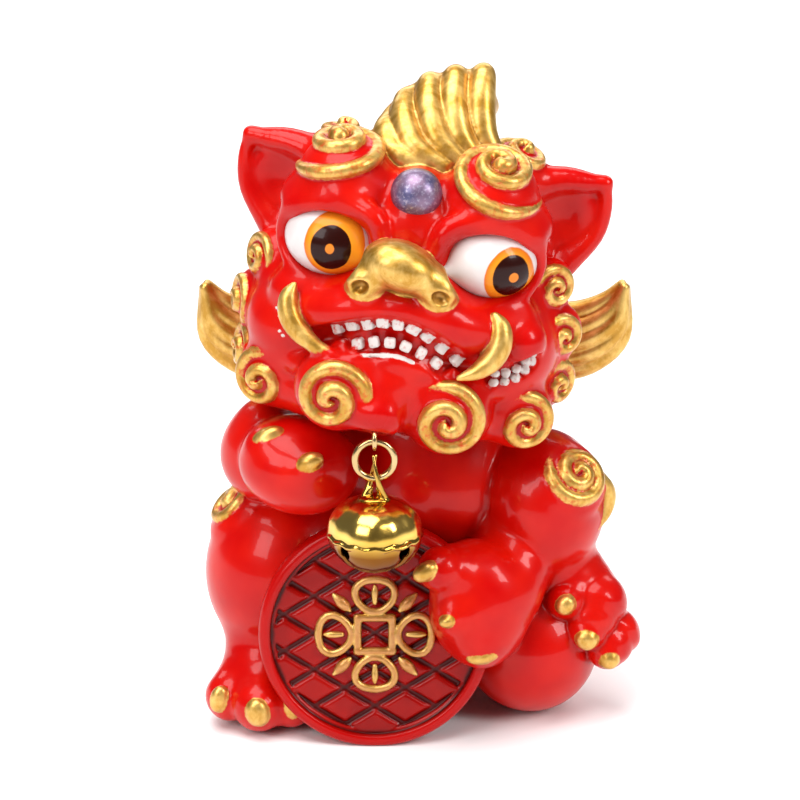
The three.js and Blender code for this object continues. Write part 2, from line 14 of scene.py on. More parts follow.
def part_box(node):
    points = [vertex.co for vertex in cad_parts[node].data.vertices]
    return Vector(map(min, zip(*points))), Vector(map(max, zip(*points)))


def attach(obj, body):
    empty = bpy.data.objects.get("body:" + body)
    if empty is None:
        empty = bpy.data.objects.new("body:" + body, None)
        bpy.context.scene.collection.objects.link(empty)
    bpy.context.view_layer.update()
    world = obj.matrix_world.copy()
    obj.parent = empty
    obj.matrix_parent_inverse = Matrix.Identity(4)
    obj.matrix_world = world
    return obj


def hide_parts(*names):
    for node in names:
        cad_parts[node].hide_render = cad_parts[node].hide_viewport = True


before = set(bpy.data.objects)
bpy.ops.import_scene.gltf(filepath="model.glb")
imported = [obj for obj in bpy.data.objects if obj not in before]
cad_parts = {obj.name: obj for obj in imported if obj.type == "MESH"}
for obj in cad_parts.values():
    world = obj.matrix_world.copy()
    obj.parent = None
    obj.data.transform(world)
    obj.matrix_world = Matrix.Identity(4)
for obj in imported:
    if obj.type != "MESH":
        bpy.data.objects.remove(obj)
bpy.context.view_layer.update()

MM = 0.001
SIDES = (("left", -1), ("right", 1))

# ---- places taken from the frame ----------------------------------------------------------

HANG_MM = (-5.0, -24.6, 41.06)  # the jump ring's middle in the casting's frame

ring_low, ring_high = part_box("jump_ring")
CASTING = (ring_low + ring_high) / 2 - Vector(HANG_MM) * MM  # the casting frame's origin, in metres
CASTING.z = 0.0

HEAD_CENTRE = np.array([-0.5, -5.0, 57.2])
HEAD_LEAN = Matrix.Rotation(math.radians(6.7), 3, "Y")
HEAD_LOOK = Matrix.Rotation(math.radians(-5.7), 3, "Z")
HEAD_TURN = np.array(HEAD_LEAN @ HEAD_LOOK)

# ---- signed distance fields ---------------------------------------------------------------

FAR = 50.0  # millimetres: the distance in empty clay
SETTLE_ROUNDS = 3
CORNERS = list(np.ndindex(2, 2, 2))


class Shape:
    """A distance function with the box that holds its surface."""

    def __init__(self, low, high, distance):
        self.low = np.asarray(low, float)
        self.high = np.asarray(high, float)
        self.distance = distance

    def __call__(self, point):
        return self.distance(point)


def in_frame(point, at, axes):
    """Coordinates of points in a frame: `axes` holds its unit vectors as rows."""
    offset = [point[i] - at[i] for i in range(3)]
    return [sum(axis[i] * offset[i] for i in range(3)) for axis in axes]


def turned(angles):
    """Unit vectors of a frame turned by degrees about X, Y and Z."""
    matrix = Euler([math.radians(angle) for angle in angles], "XYZ").to_matrix()
    return np.array(matrix).T


def ellipsoid(at, radii, axes):
    """An ellipsoid; `axes` holds the directions of its radii as rows."""
    at = np.array(at, float)
    radii = np.array(radii, float)

    def distance(point):
        local = in_frame(point, at, axes)
        near = np.sqrt(sum((local[i] / radii[i]) ** 2 for i in range(3)))
        slope = np.sqrt(sum((local[i] / radii[i] ** 2) ** 2 for i in range(3)))
        return near * (near - 1) / np.maximum(slope, 1e-6)

    reach = np.abs(axes.T) @ radii
    return Shape(at - reach, at + reach, distance)


def ball(at, radii, turn=(0, 0, 0)):
    """An ellipsoid turned by degrees about X, Y and Z."""
    return ellipsoid(at, radii, turned(turn))


def rod(start, end, start_radius, end_radius):
    """A tapered rod with round ends."""
    start = np.array(start, float)
    end = np.array(end, float)
    along = end - start
    length = float(along @ along)
    widest = max(start_radius, end_radius)

    def distance(point):
        offset = [point[i] - start[i] for i in range(3)]
        share = np.clip(sum(offset[i] * along[i] for i in range(3)) / length, 0, 1)
        gap = sum((offset[i] - along[i] * share) ** 2 for i in range(3))
        return np.sqrt(gap) - (start_radius + (end_radius - start_radius) * share)

    low = np.minimum(start, end) - widest
    high = np.maximum(start, end) + widest
    return Shape(low, high, distance)


def together(shapes):
    """The plain union of shapes."""
    low = np.min([shape.low for shape in shapes], axis=0)
    high = np.max([shape.high for shape in shapes], axis=0)

    def distance(point):
        result = shapes[0](point)
        for shape in shapes[1:]:
            result = np.minimum(result, shape(point))
        return result

    return Shape(low, high, distance)


def below_floor(centre, turn):
    """Everything below the floor, in the frame of a piece placed by `centre` and `turn`."""
    rise = np.array(turn)[2]

    def distance(point):
        return centre[2] + sum(rise[i] * point[i] for i in range(3))

    return Shape([-FAR] * 3, [FAR] * 3, distance)


def smooth_path(points, steps):
    """Points with radii, interpolated by a Catmull-Rom curve."""
    points = np.array(points, float)
    padded = np.vstack([2 * points[0] - points[1], points, 2 * points[-1] - points[-2]])
    result = []
    for index in range(len(points) - 1):
        before, here, there, after = padded[index : index + 4]
        for t in np.arange(steps) / steps:
            bend = 2 * before - 5 * here + 4 * there - after
            twist = 3 * here - before - 3 * there + after
            result.append(0.5 * (2 * here + (there - before) * t + bend * t**2 + twist * t**3))
    result.append(points[-1])
    return np.array(result)


def strand(points, steps=4):
    """A smooth tapering strand through points (x, y, z, radius)."""
    path = smooth_path(points, steps)
    thin = 0.05
    return together(
        [rod(a[:3], b[:3], max(a[3], thin), max(b[3], thin)) for a, b in zip(path, path[1:])]
    )


def mirrored(points, side):
    """Points, with any radii, on the right (1) or mirrored to the left (-1)."""
    return [(side * x, *rest) for x, *rest in points]


def facing_axes(facing, spin=0):
    """A frame that looks along `facing`: its right, its up and the way it looks."""
    look = np.array(facing, float)
    look /= np.linalg.norm(look)
    right = np.cross((0, 0, 1), look)
    right /= np.linalg.norm(right)
    up = np.cross(look, right)
    cosine = math.cos(math.radians(spin))
    sine = math.sin(math.radians(spin))
    return np.array([right * cosine + up * sine, up * cosine - right * sine, look])


def spiral_ridge(at, axes, radius, height, hand, turns, band, reach_out, ease):
    """The raised band of a curl, wound out over a dome from a fat nub in the middle."""
    at = np.array(at, float)
    inner = radius * 0.1
    outer = radius * reach_out

    def distance(point):
        right, up, look = in_frame(point, at, axes)
        right = right * hand
        angle = np.arctan2(up, right) / (2 * math.pi)
        result = None
        for turn in range(int(math.ceil(turns)) + 1):
            share = np.clip((angle + turn) / turns, 0, 1)
            reach = inner + (outer - inner) * share**ease
            theta = share * turns * 2 * math.pi
            rise = height * np.sqrt(np.maximum(0, 1 - (reach / radius) ** 2))
            gap = np.sqrt(
                (right - reach * np.cos(theta)) ** 2
                + (up - reach * np.sin(theta)) ** 2
                + (look - rise) ** 2
            )
            nub = 0.35 * np.clip(1 - share * 4, 0, 1)
            thick = band * (1 + nub) * np.clip((1 - share) * 7 + 0.2, 0, 1)
            gap = gap - thick
            result = gap if result is None else np.minimum(result, gap)
        return result

    reach = radius + band
    return Shape(at - reach, at + reach, distance)


class Curl:
    """A mane curl: a boss and the spiral ridge that is painted gold."""

    def __init__(self, at, facing, radius, spin=0, hand=1, height=0.6, turns=1.5, band=0.18,
                 reach=0.86, ease=0.8):
        axes = facing_axes(facing, spin)
        rise = radius * height
        self.boss = ellipsoid(at, (radius, radius, rise), axes)
        self.ridge = spiral_ridge(at, axes, radius, rise, hand, turns, radius * band, reach, ease)


def joined(here, there, blend):
    """The union of two distances, rounded where they meet."""
    overlap = np.maximum(blend - np.abs(here - there), 0) / max(blend, 1e-9)
    return np.minimum(here, there) - overlap**2 * blend / 4


class Clay:
    """A distance field on a grid that shapes are added to and carved from."""

    def __init__(self, low, high, cell):
        self.low = np.array(low, float)
        self.cell = cell
        self.count = np.ceil((np.array(high) - self.low) / cell).astype(int) + 1
        self.field = np.full(self.count, FAR, np.float32)
        self.paint = {"gold": [], "white": []}

    def window(self, shape, margin):
        """The part of the grid around a shape, and its points' coordinates."""
        first = np.floor((shape.low - margin - self.low) / self.cell).astype(int)
        last = np.ceil((shape.high + margin - self.low) / self.cell).astype(int)
        first = np.clip(first, 0, self.count - 1)
        last = np.clip(last, 1, self.count)
        axes = [
            (self.low[i] + self.cell * np.arange(first[i], last[i])).astype(np.float32)
            for i in range(3)
        ]
        part = tuple(slice(first[i], last[i]) for i in range(3))
        return part, np.meshgrid(*axes, indexing="ij", sparse=True)

    def add(self, shape, blend=0.0, colour=None, spread=0.12):
        """Adds a shape; its colour, if any, reaches `spread` past it."""
        part, point = self.window(shape, blend + 4 * self.cell)
        self.field[part] = joined(self.field[part], shape(point), blend)
        if colour:
            self.paint[colour].append((shape, spread))

    def lay(self, points, blend=0.0, colour=None, spread=0.12, side=1):
        """Adds a strand through points, mirrored to the left where `side` is -1."""
        self.add(strand(mirrored(points, side)), blend, colour, spread)

    def carve(self, shape, blend=0.3):
        """Cuts a shape out."""
        part, point = self.window(shape, blend + 4 * self.cell)
        self.field[part] = -joined(-self.field[part], shape(point), blend)

    def curl(self, curl, blend=1.0):
        """Adds a curl, its ridge in gold."""
        self.add(curl.boss, blend)
        self.add(curl.ridge, 0.2, "gold", 0.03)

    def sample(self, points):
        """The field between its grid's points."""
        place = (points - self.low) / self.cell
        base = np.clip(np.floor(place).astype(int), 0, self.count - 2)
        part = place - base
        total = np.zeros(len(points))
        for corner in CORNERS:
            weight = np.prod(np.where(corner, part, 1 - part), axis=1)
            index = base + corner
            total += weight * self.field[index[:, 0], index[:, 1], index[:, 2]]
        return total

    def surface(self):
        """Surface nets: one vertex in each crossed cell, one quad on each crossed edge."""
        field = self.field
        inside = field < 0
        views = [
            tuple(slice(c, self.count[i] - 1 + c) for i, c in enumerate(corner))
            for corner in CORNERS
        ]
        total_inside = sum(inside[view].astype(np.int8) for view in views)
        cells = np.argwhere((total_inside > 0) & (total_inside < 8))
        number = np.full(self.count - 1, -1, np.int64)
        number[tuple(cells.T)] = np.arange(len(cells))
        summed = np.zeros((len(cells), 3))
        crossings = np.zeros(len(cells))
        for first in CORNERS:
            for axis in range(3):
                if first[axis]:
                    continue
                second = tuple(c + (1 if i == axis else 0) for i, c in enumerate(first))
                a = field[tuple((cells + first).T)].astype(float)
                b = field[tuple((cells + second).T)].astype(float)
                crossed = (a < 0) != (b < 0)
                share = np.where(crossed, a / np.where(crossed, a - b, 1), 0)
                place = np.array(first, float) + share[:, None] * np.eye(3)[axis]
                summed += np.where(crossed[:, None], place, 0)
                crossings += crossed
        points = self.low + (cells + summed / crossings[:, None]) * self.cell
        quads = []
        for axis in range(3):
            a = np.delete(inside, -1, axis)
            b = np.delete(inside, 0, axis)
            u, v = (np.eye(3, dtype=int)[i] for i in range(3) if i != axis)
            for leaving in (True, False):
                edges = np.argwhere((a & ~b) if leaving else (~a & b))
                edges = edges[np.all(edges > 0, axis=1) & np.all(edges < self.count - 1, axis=1)]
                around = [number[tuple((edges - shift).T)] for shift in (u + v, v, 0 * u, u)]
                quad = np.stack(around, axis=1)
                if leaving == (axis == 1):
                    quad = quad[:, ::-1]
                quads.append(quad)
        return points, np.vstack(quads)

    def mesh(self):
        """The clay's surface as vertices and quads, settled onto the field's zero."""
        points, quads = self.surface()
        step = self.cell * 0.5
        for _ in range(SETTLE_ROUNDS):
            value = self.sample(points)
            slopes = [
                self.sample(points + shift) - self.sample(points - shift)
                for shift in np.eye(3) * step
            ]
            gradient = np.stack(slopes, axis=1) / (2 * step)
            size = np.maximum((gradient**2).sum(axis=1), 0.2)
            move = -(value / size)[:, None] * gradient
            points = points + np.clip(move, -self.cell, self.cell)
        return points, quads

    def paint_at(self, colour, points):
        """How far each point is outside the nearest shape painted that colour, in mm."""
        columns = points.T
        result = np.full(len(points), 3.0)
        for shape, spread in self.paint[colour]:
            near = np.all((points > shape.low - 2) & (points < shape.high + 2), axis=1)
            if near.any():
                inner = [column[near] for column in columns]
                result[near] = np.minimum(result[near], shape(inner) - spread)
        return result


def clay_object(name, clay, turn=np.eye(3), centre=(0, 0, 0), **marks):
    """A Blender object from clay, placed in the CAD's frame, its paint and marks as attributes."""
    points, quads = clay.mesh()
    placed = (points @ np.array(turn).T + np.array(centre)) * MM + np.array(CASTING)
    mesh = bpy.data.meshes.new(name)
    mesh.from_pydata(placed.tolist(), [], quads.tolist())
    layers = {colour: clay.paint_at(colour, points) for colour in clay.paint}
    for mark, measure in marks.items():
        layers[mark] = measure(points)
    layers["crease"] = creases(clay, points)
    for layer_name, values in layers.items():
        layer = mesh.attributes.new(layer_name, "FLOAT", "POINT")
        layer.data.foreach_set("value", values.astype(np.float32))
    mesh.polygons.foreach_set("use_smooth", np.ones(len(mesh.polygons), bool))
    mesh.update()
    piece = bpy.data.objects.new(name, mesh)
    bpy.context.scene.collection.objects.link(piece)
    return piece


def creases(clay, points, reach=0.7):
    """How hollow the surface is around each point: positive in creases, in mm."""
    shifts = np.vstack([np.eye(3), -np.eye(3)]) * reach
    return -sum(clay.sample(points + shift) for shift in shifts) / len(shifts)


# ---- the head -----------------------------------------------------------------------------

HEAD_CELL = 0.25
EYE_AT = (9.8, -10.6, 8.0)
EYE_RADII = (5.9, 4.8, 4.7)
EYE_TURN = 16
PEARL_AT = (0.0, -12.4, 15.6)
EYELET_HOLLOW = (-1.1, -19.5, -13.9)  # behind the chin's lobe

# Mane curls in the head's frame, for the right side; "left" changes them on the other side.
CURL_PAIRS = {
    "brow_curl": dict(
        at=(9.0, -8.6, 15.2), facing=(0.1, -0.42, 0.9), radius=5.8, height=1.0, turns=2.2,
        band=0.16, reach=1.0, ease=1.1, spin=-70,
        left=dict(at=(9.2, -8.2, 15.0), facing=(0.12, -0.16, 0.98)),
    ),
    "crown_curl": dict(
        at=(10.6, 0.4, 15.6), facing=(0.3, -0.2, 0.9), radius=4.1, height=1.1,
        left=dict(at=(10.4, -0.6, 14.6), facing=(0.05, 0.0, 1.0), height=1.25),
    ),
    "temple_curl": dict(
        at=(17.2, -4.4, 4.0), facing=(0.6, -0.8, 0.05), radius=3.4, spin=40,
        left=dict(at=(17.8, -4.2, 2.6), facing=(0.86, -0.5, 0.05)),
    ),
    "side_curl": dict(
        at=(18.9, -4.0, -2.2), facing=(0.6, -0.8, 0.0), radius=3.7, spin=100,
        left=dict(at=(19.4, -2.6, -3.6), facing=(0.95, -0.3, 0.0)),
    ),
    "cheek_curl": dict(
        at=(18.6, -3.6, -8.6), facing=(0.8, -0.6, -0.05), radius=3.9, spin=60,
        left=dict(at=(18.4, -2.6, -10.2), facing=(0.95, -0.3, 0.0)),
    ),
    "jaw_curl": dict(
        at=(15.8, -9.2, -11.8), facing=(0.4, -0.9, -0.1), radius=4.4, height=0.75, spin=-30,
        left=dict(at=(15.4, -9.0, -11.0)),
    ),
    "chin_curl": dict(
        at=(7.2, -15.2, -10.7), facing=(0.1, -0.98, -0.05), radius=5.4, height=0.75, turns=1.6,
        band=0.17, spin=-70, left=dict(at=(6.4, -17.0, -9.0), spin=20),
    ),
    "nape_curl": dict(at=(9.0, 12.6, -4.0), facing=(0.5, 0.85, -0.1), radius=5.4),
}

# Smaller curls on the back of the head: place, facing and radius, for the right side.
BACK_CURLS = [
    ((15.4, 5.2, -7.8), (0.8, 0.35, -0.4), 4.2),
    ((13.2, 10.2, 6.0), (0.72, 0.6, 0.35), 4.6),
]


def head_frame_curls():
    """The curls of the mane, named after their CAD nodes, in the head's frame."""
    curls = {}
    for name, settings in CURL_PAIRS.items():
        for side_name, side in SIDES:
            here = {**settings, **settings.get(side_name, {})}
            here.pop("left", None)
            at = np.array(here.pop("at")) * (side, 1, 1)
            facing = np.array(here.pop("facing")) * (side, 1, 1)
            spin = here.pop("spin", 0) * side
            curls[f"{name}_{side_name}"] = Curl(at, facing, spin=spin, hand=side, **here)
    curls["nape_curl_top"] = Curl((0, 12.8, 8.2), (0, 0.85, 0.5), 5.4)
    return curls


def eyelid_rim(side):
    """A fold around the eye: heavy above, thin below."""
    centre = np.array(EYE_AT) * (side, 1, 1)
    axes = turned((0, 0, side * EYE_TURN))
    rim = []
    for angle in np.radians(np.arange(0, 361, 24)):
        across = 6.6 * math.cos(angle) - 0.4 * side
        upward = 5.1 * math.sin(angle)
        depth = -3.2 + 0.055 * across**2 + 0.03 * upward**2
        thick = 0.7 + 0.4 * max(math.sin(angle), 0)
        rim.append((*(centre + across * axes[0] + depth * axes[1] + upward * axes[2]), thick))
    return strand(rim, 2)


def eye_opening(side):
    """The almond that is cut out of the head for an eye, with its inner corner."""
    centre = np.array(EYE_AT) * (side, 1, 1)
    axes = turned((0, 0, side * EYE_TURN))
    middle = centre + axes[1] * -6 - axes[0] * 0.4 * side
    almond = ball(middle, (6.3, 7.5, 4.5), (0, side * 8, side * EYE_TURN))
    corner = [(side * 7.0, -17.0, 7.2, 2.6), (side * 3.6, -16.2, 6.6, 0.5)]
    return together([almond, strand(corner, 2)])


# The line between the two rows of front teeth, as (x, z): it droops more on the right.
MOUTH_LINE = [(-8.4, -3.1), (-5.8, -1.8), (-2.2, -0.4), (0.5, -0.2), (3.5, -1.2), (6.2, -3.2),
              (8.4, -5.4)]


def muzzle_depth(x, z):
    """How far forward the muzzle's face is at a place."""
    return -19.1 + 0.045 * x * x + 0.03 * (z + 1) ** 2


def teeth_row(offset, size, count, first, last):
    """Small rounded teeth along the mouth, `offset` above its middle line."""
    columns = np.array(MOUTH_LINE).T
    teeth = []
    for index in range(count):
        x = first + (last - first) * index / (count - 1)
        near, far = np.interp([x - 0.5, x + 0.5], *columns)
        z = (near + far) / 2 + offset
        teeth.append(tooth((x, muzzle_depth(x, z) + 0.15, z), size, math.atan(far - near), index))
    return teeth


def tooth(at, size, tilt, index):
    """One tooth: a rounded block, a little different from its neighbours."""
    at = np.array(at, float)
    wobble = 0.12 * math.sin(index * 2.7 + at[2])
    half = np.array([size[0] * (1 + wobble) / 2, 0.55, size[1] * (1 - wobble) / 2])
    axes = turned((0, -math.degrees(tilt) + 30 * wobble, math.degrees(0.09 * at[0])))
    corner = 0.3

    def distance(point):
        local = in_frame(point, at, axes)
        beyond = [np.abs(local[i]) - (half[i] - corner) for i in range(3)]
        outside = np.sqrt(sum(np.maximum(b, 0) ** 2 for b in beyond))
        inside = np.minimum(np.maximum(np.maximum(beyond[0], beyond[1]), beyond[2]), 0)
        return outside + inside - corner

    return Shape(at - 1.8, at + 1.8, distance)


def make_head_clay():
    """The head with its teeth, tusks, nose, ears, curls and crest, hollowed for the eyes."""
    clay = Clay((-25.5, -25.5, -20.5), (25.5, 19.5, 30.5), HEAD_CELL)
    clay.add(ball((0, 0, 0), (18.2, 16.6, 17.0)))
    clay.add(ball((0, -8.5, -6.8), (12.2, 9.8, 9.2)), 3)
    clay.add(ball((0, -8.6, 11.6), (5.2, 6.4, 6.2)), 3)
    clay.add(ball((-0.6, -15.6, -8.8), (3.0, 4.6, 4.8)), 4)
    clay.add(ball((-1.0, -19.7, -11.6), (2.8, 1.3, 2.4), (28, 0, 0)), 2)
    for _, side in SIDES:
        clay.add(ball((side * 13.4, -6.6, -4.2), (6.2, 7.2, 6.6)), 3)
        clay.add(ball((side * 9.8, -8.2, 13.2), (7.2, 5.6, 3.8), (14, side * 12, 0)), 2)
        clay.add(eyelid_rim(side), 1.4)
        # furrows between the pearl and the brows
        furrow = [(3.2, -14.6, 9.2, 1.1), (4.6, -14.4, 12.4, 1.3), (8.5, -13.2, 14.2, 1.0)]
        clay.lay(furrow, 1.2, side=side)
        # the mane's roll behind the jaw and chin curls
        roll = [(15.0, -7.0, -11.0, 3.2), (10.8, -9.8, -11.8, 3.8), (6.0, -11.0, -11.4, 3.6)]
        clay.lay(roll, 1.5, side=side)
        # upper lip: two puffed lobes that run back under the cheeks
        clay.add(ball((side * 5.2, -13.2, 1.0), (7.0, 5.9, 4.2), (0, side * 16, side * 8)), 2.5)
        clay.lay([(1.0, -18.0, 2.6, 1.5), (5.5, -17.4, 1.9, 1.9), (10.5, -15.0, 0.2, 1.9),
                  (14.5, -11.5, 1.2, 1.7)], 2.6, side=side)
        # lower lip and the roll of the jaw
        clay.lay([(0, -17.9, -4.0, 1.1), (5, -17.0, -5.2, 1.1), (9.5, -14.9, -7.6, 1.3),
                  (14, -11.2, -7.8, 1.4)], 1.4, side=side)
    # cheek pouch behind the right tusk
    clay.add(ball((14.9, -12.0, -1.2), (3.2, 3.1, 3.1)), 0.6)
    clay.carve(strand([(x, muzzle_depth(x, z) - 1.75, z, 2.2) for x, z in MOUTH_LINE]), 0.8)
    add_side_teeth(clay)
    upper_row = teeth_row(1.25, (1.5, 1.6), 9, -7.3, 7.6)
    lower_row = teeth_row(-1.3, (1.35, 1.35), 8, -6.4, 7.2)
    for block in upper_row + lower_row:
        clay.add(block, 0.15, "white", 0.02)
    lip_edge = [(-5.0, -18.2, -4.3, 0.12), (-2.4, -18.9, -3.4, 0.2), (0.6, -19.0, -3.2, 0.2),
                (2.6, -18.8, -3.7, 0.12)]
    clay.lay(lip_edge, 0.1, "white", 0.1)
    add_nose(clay)
    for _, side in SIDES:
        clay.add(strand(TUSKS[side]), 0.3, "gold", 0.1)
        add_ear(clay, side)
    for curl in head_frame_curls().values():
        clay.curl(curl, 1.6)
    for at, facing, radius in BACK_CURLS:
        for _, side in SIDES:
            mirror = np.array([side, 1, 1])
            clay.curl(Curl(at * mirror, facing * mirror, radius, hand=side), 1.6)
    clay.curl(Curl((0, 14.0, -9.4), (0.01, 0.85, -0.5), 4.6), 1.6)
    add_crest(clay)
    clay.carve(ball(EYELET_HOLLOW, (2.2, 1.1, 2.2)), 0.4)
    for _, side in SIDES:
        clay.carve(eye_opening(side), 0.35)
    return clay


# Tusks: crescents from the cheek down to the lower lip.
TUSKS = {
    -1: [(-13.2, -15.8, 3.0, 0.4), (-13.7, -16.0, 1.4, 1.15), (-13.3, -16.4, -0.6, 1.45),
         (-11.9, -17.1, -2.3, 1.35), (-9.8, -18.0, -3.5, 0.95), (-7.6, -18.6, -4.1, 0.35)],
    1: [(11.5, -15.9, 2.8, 0.45), (12.4, -16.1, 1.4, 1.2), (12.6, -16.5, -0.6, 1.5),
        (11.8, -17.0, -2.6, 1.45), (10.2, -17.8, -4.1, 1.0), (8.2, -18.4, -5.0, 0.35)],
}

# The short rows of teeth beside the right tusk, as (x, z), and the specks beside the left one.
SIDE_TEETH = [(12.4, -5.6), (13.7, -5.6), (14.9, -5.2), (15.9, -4.3), (16.5, -3.2)]
SPECKS = [(-14.9, -0.4), (-15.3, -1.5), (-14.8, -2.4), (-14.6, -4.2), (-14.1, -4.7)]


def add_side_teeth(clay):
    """A shallow groove beside the right tusk with two short rows of teeth in it."""
    depths = [-12.6 - (16 - x) * 0.72 for x, _ in SIDE_TEETH]
    groove = [(x, depth - 0.7, z, 1.4) for (x, z), depth in zip(SIDE_TEETH, depths)]
    clay.carve(strand(groove), 0.5)
    for index, ((x, z), depth) in enumerate(zip(SIDE_TEETH, depths)):
        for height in (0.58, -0.58):
            place = (x, depth + 0.45, z + height)
            clay.add(tooth(place, (1.0, 0.95), 0.25 * index, index), 0.12, "white", 0.02)
    for x, z in SPECKS:
        clay.paint["white"].append((rod((x, -20, z), (x, -8, z + 0.6), 0.15, 0.15), 0.05))


def add_nose(clay):
    """A broad gold nose: a long bulb and two wings with open nostrils."""
    clay.add(ball((-0.3, -18.2, 8.0), (4.9, 3.9, 3.1), (-10, 14, 0)), 0.7, "gold", 0.4)
    for _, side in SIDES:
        wing = ball((side * 4.5, -18.2, 5.9), (2.5, 2.7, 2.5), (0, side * 20, 0))
        clay.add(wing, 1.4, "gold", 0.4)
        clay.carve(ball((side * 5.0, -20.8, 5.2), (1.3, 1.6, 1.0), (0, side * 35, 0)), 0.35)


def add_ear(clay, side):
    """A broad leaf-shaped ear with a rolled upper edge, hollow in front, its tip outwards."""
    clay.add(ball((side * 17.6, 1.8, 11.4), (5.8, 2.0, 5.8), (0, side * 25, side * 10)), 2)
    clay.lay([(12.0, 0.2, 14.8, 2.6), (17.4, 0.8, 16.0, 1.8), (20.6, 1.2, 16.2, 1.2),
              (22.4, 1.4, 16.3, 0.7)], 1.0, side=side)
    clay.lay([(22.4, 1.4, 16.3, 0.7), (22.9, 1.5, 13.2, 0.8), (22.0, 1.3, 9.2, 1.0),
              (18.6, 0.6, 5.2, 1.7)], 1.2, side=side)
    clay.carve(ball((side * 18.2, -2.6, 11.6), (3.6, 3.5, 4.0), (0, side * 30, side * -16)), 1.4)


def add_crest(clay):
    """A gold fan of rounded ribs that sweep up and to the left from a curved foot."""
    ribs = 6
    spine = []
    tops = smooth_path([(-5.0, -1.6, 19.4), (-4.5, -0.9, 22.2), (-2.2, -0.2, 25.4),
                        (1.6, 0.5, 27.4), (5.6, 1.0, 28.2)], 12)
    feet = smooth_path([(-3.6, -5.2, 17.4), (0.4, -6.4, 17.4), (4.6, -5.8, 18.0),
                        (8.8, -3.4, 18.6)], 12)
    for rib in range(ribs):
        share = rib / (ribs - 1)
        top = tops[round(share * (len(tops) - 1))]
        foot = feet[round(share**0.75 * (len(feet) - 1))]
        sag = np.array([-1.9, -0.9, -0.5]) * (1.25 - share * 0.7)
        points = [
            (*foot, 1.3),
            (*(foot * 0.66 + top * 0.34 + sag), 1.75),
            (*(foot * 0.3 + top * 0.7 + sag * 0.8), 1.9),
            (*(top - (0, 0, 0.6)), 1.65),
            (*(top + (0, 0.8, 0)), 1.1),
        ]
        clay.lay(points, 0.3, "gold", 0.2)
        spine.append((*(foot * 0.4 + top * 0.6 + sag * 0.5 + (0, 1.5, 0)), 1.7))
    rim = [(x - 0.2, y + 1.2, z - 1.2, 1.4) for x, y, z in tops[::6]]
    clay.lay(rim, 0.8, "gold", 0.2)
    clay.lay(spine, 0.8, "gold", 0.2)
    # the fan's body behind the ribs
    web = [(2.0, -1.6, 16.0, 4.0), (2.6, 0.6, 21.0, 3.4), (3.2, 1.8, 24.5, 2.4)]
    clay.lay(web, 0.6, "gold", 0.2)


# ---- the body -----------------------------------------------------------------------------

BODY_CELL = 0.32


def make_body_clay():
    """The body with its limbs, tail and nails, cut flat where it stands."""
    clay = Clay((-29.5, -24.5, -1.0), (32.5, 25.5, 46.5), BODY_CELL)
    clay.add(ball((0, 5, 13.5), (18, 13.5, 14.5)))
    clay.add(ball((1, 0.5, 28), (13, 10, 13)), 4)
    clay.add(ball((1.5, -1.5, 38), (10, 9, 7)), 3)
    clay.add(ball((15.1, -7.5, 9.2), (8.9, 9.2, 9.2)), 1.5)
    clay.add(ball((-13, 0, 9), (9, 9, 9.2)), 3)
    clay.add(ball((3, -5, 30), (10, 8, 9)), 5)
    add_raised_arm(clay)
    add_grounded_leg(clay)
    add_lifted_leg(clay)
    add_coin_arm(clay)
    add_tail(clay)
    for at, radii, turn in CLAWS.values():
        clay.add(ball(at, radii, turn), 0.25, "gold", 0.12)
    clay.carve(below_floor((0, 0, 0), np.eye(3)), 0.25)
    return clay


# Nails: place, radii and turn.
CLAWS = {
    "raised_claw_1": ((-18.3, -17.3, 41.4), (2.0, 1.0, 1.1), (0, -28, 0)),
    "raised_claw_2": ((-13.0, -20.6, 39.2), (1.8, 1.0, 1.15), (0, -28, 0)),
    "coin_claw_1": ((1.2, -22.0, 25.1), (1.7, 1.1, 1.2), (0, -35, 0)),
    "coin_claw_2": ((4.0, -22.5, 18.6), (1.1, 0.9, 0.8), (0, -20, 0)),
    "coin_claw_3": ((8.4, -22.0, 13.4), (1.9, 0.9, 0.8), (0, -10, 0)),
    "ground_claw_1": ((-25.2, -15.8, 4.7), (1.2, 0.9, 1.9), (0, 12, 0)),
    "ground_claw_2": ((-20.1, -18.8, 4.2), (1.5, 1.0, 1.9), (0, -8, 0)),
    "ground_claw_3": ((-15.8, -17.6, 4.2), (0.9, 0.8, 1.4), (0, -15, 0)),
    "lifted_claw_1": ((19.2, -15.2, 17.6), (1.2, 1.0, 1.4), (0, 30, 0)),
    "lifted_claw_2": ((22.0, -15.3, 12.8), (1.5, 1.0, 1.4), (0, 20, 0)),
    "lifted_claw_3": ((25.0, -14.4, 9.6), (1.3, 1.0, 1.3), (0, -20, 0)),
}


def add_raised_arm(clay):
    """An arm bent up before the shoulder, two knuckles over its nails."""
    clay.lay([(-9, -1, 34, 6.6), (-16, -4, 34.6, 6.2), (-19.2, -7.5, 35.4, 5.6)], 2.2)
    clay.add(ball((-19.6, -8, 36.4), (4.6, 6, 6.6), (0, 8, 0)), 1.2)
    clay.add(ball((-14.6, -14.3, 36.5), (7.7, 6.9, 6.2), (0, 14, 0)), 0.7)
    for knuckle in ((-18.2, -16.0, 39.6), (-13.2, -18.6, 37.6)):
        clay.add(ball(knuckle, (2.9, 2.6, 2.6)), 1.2)


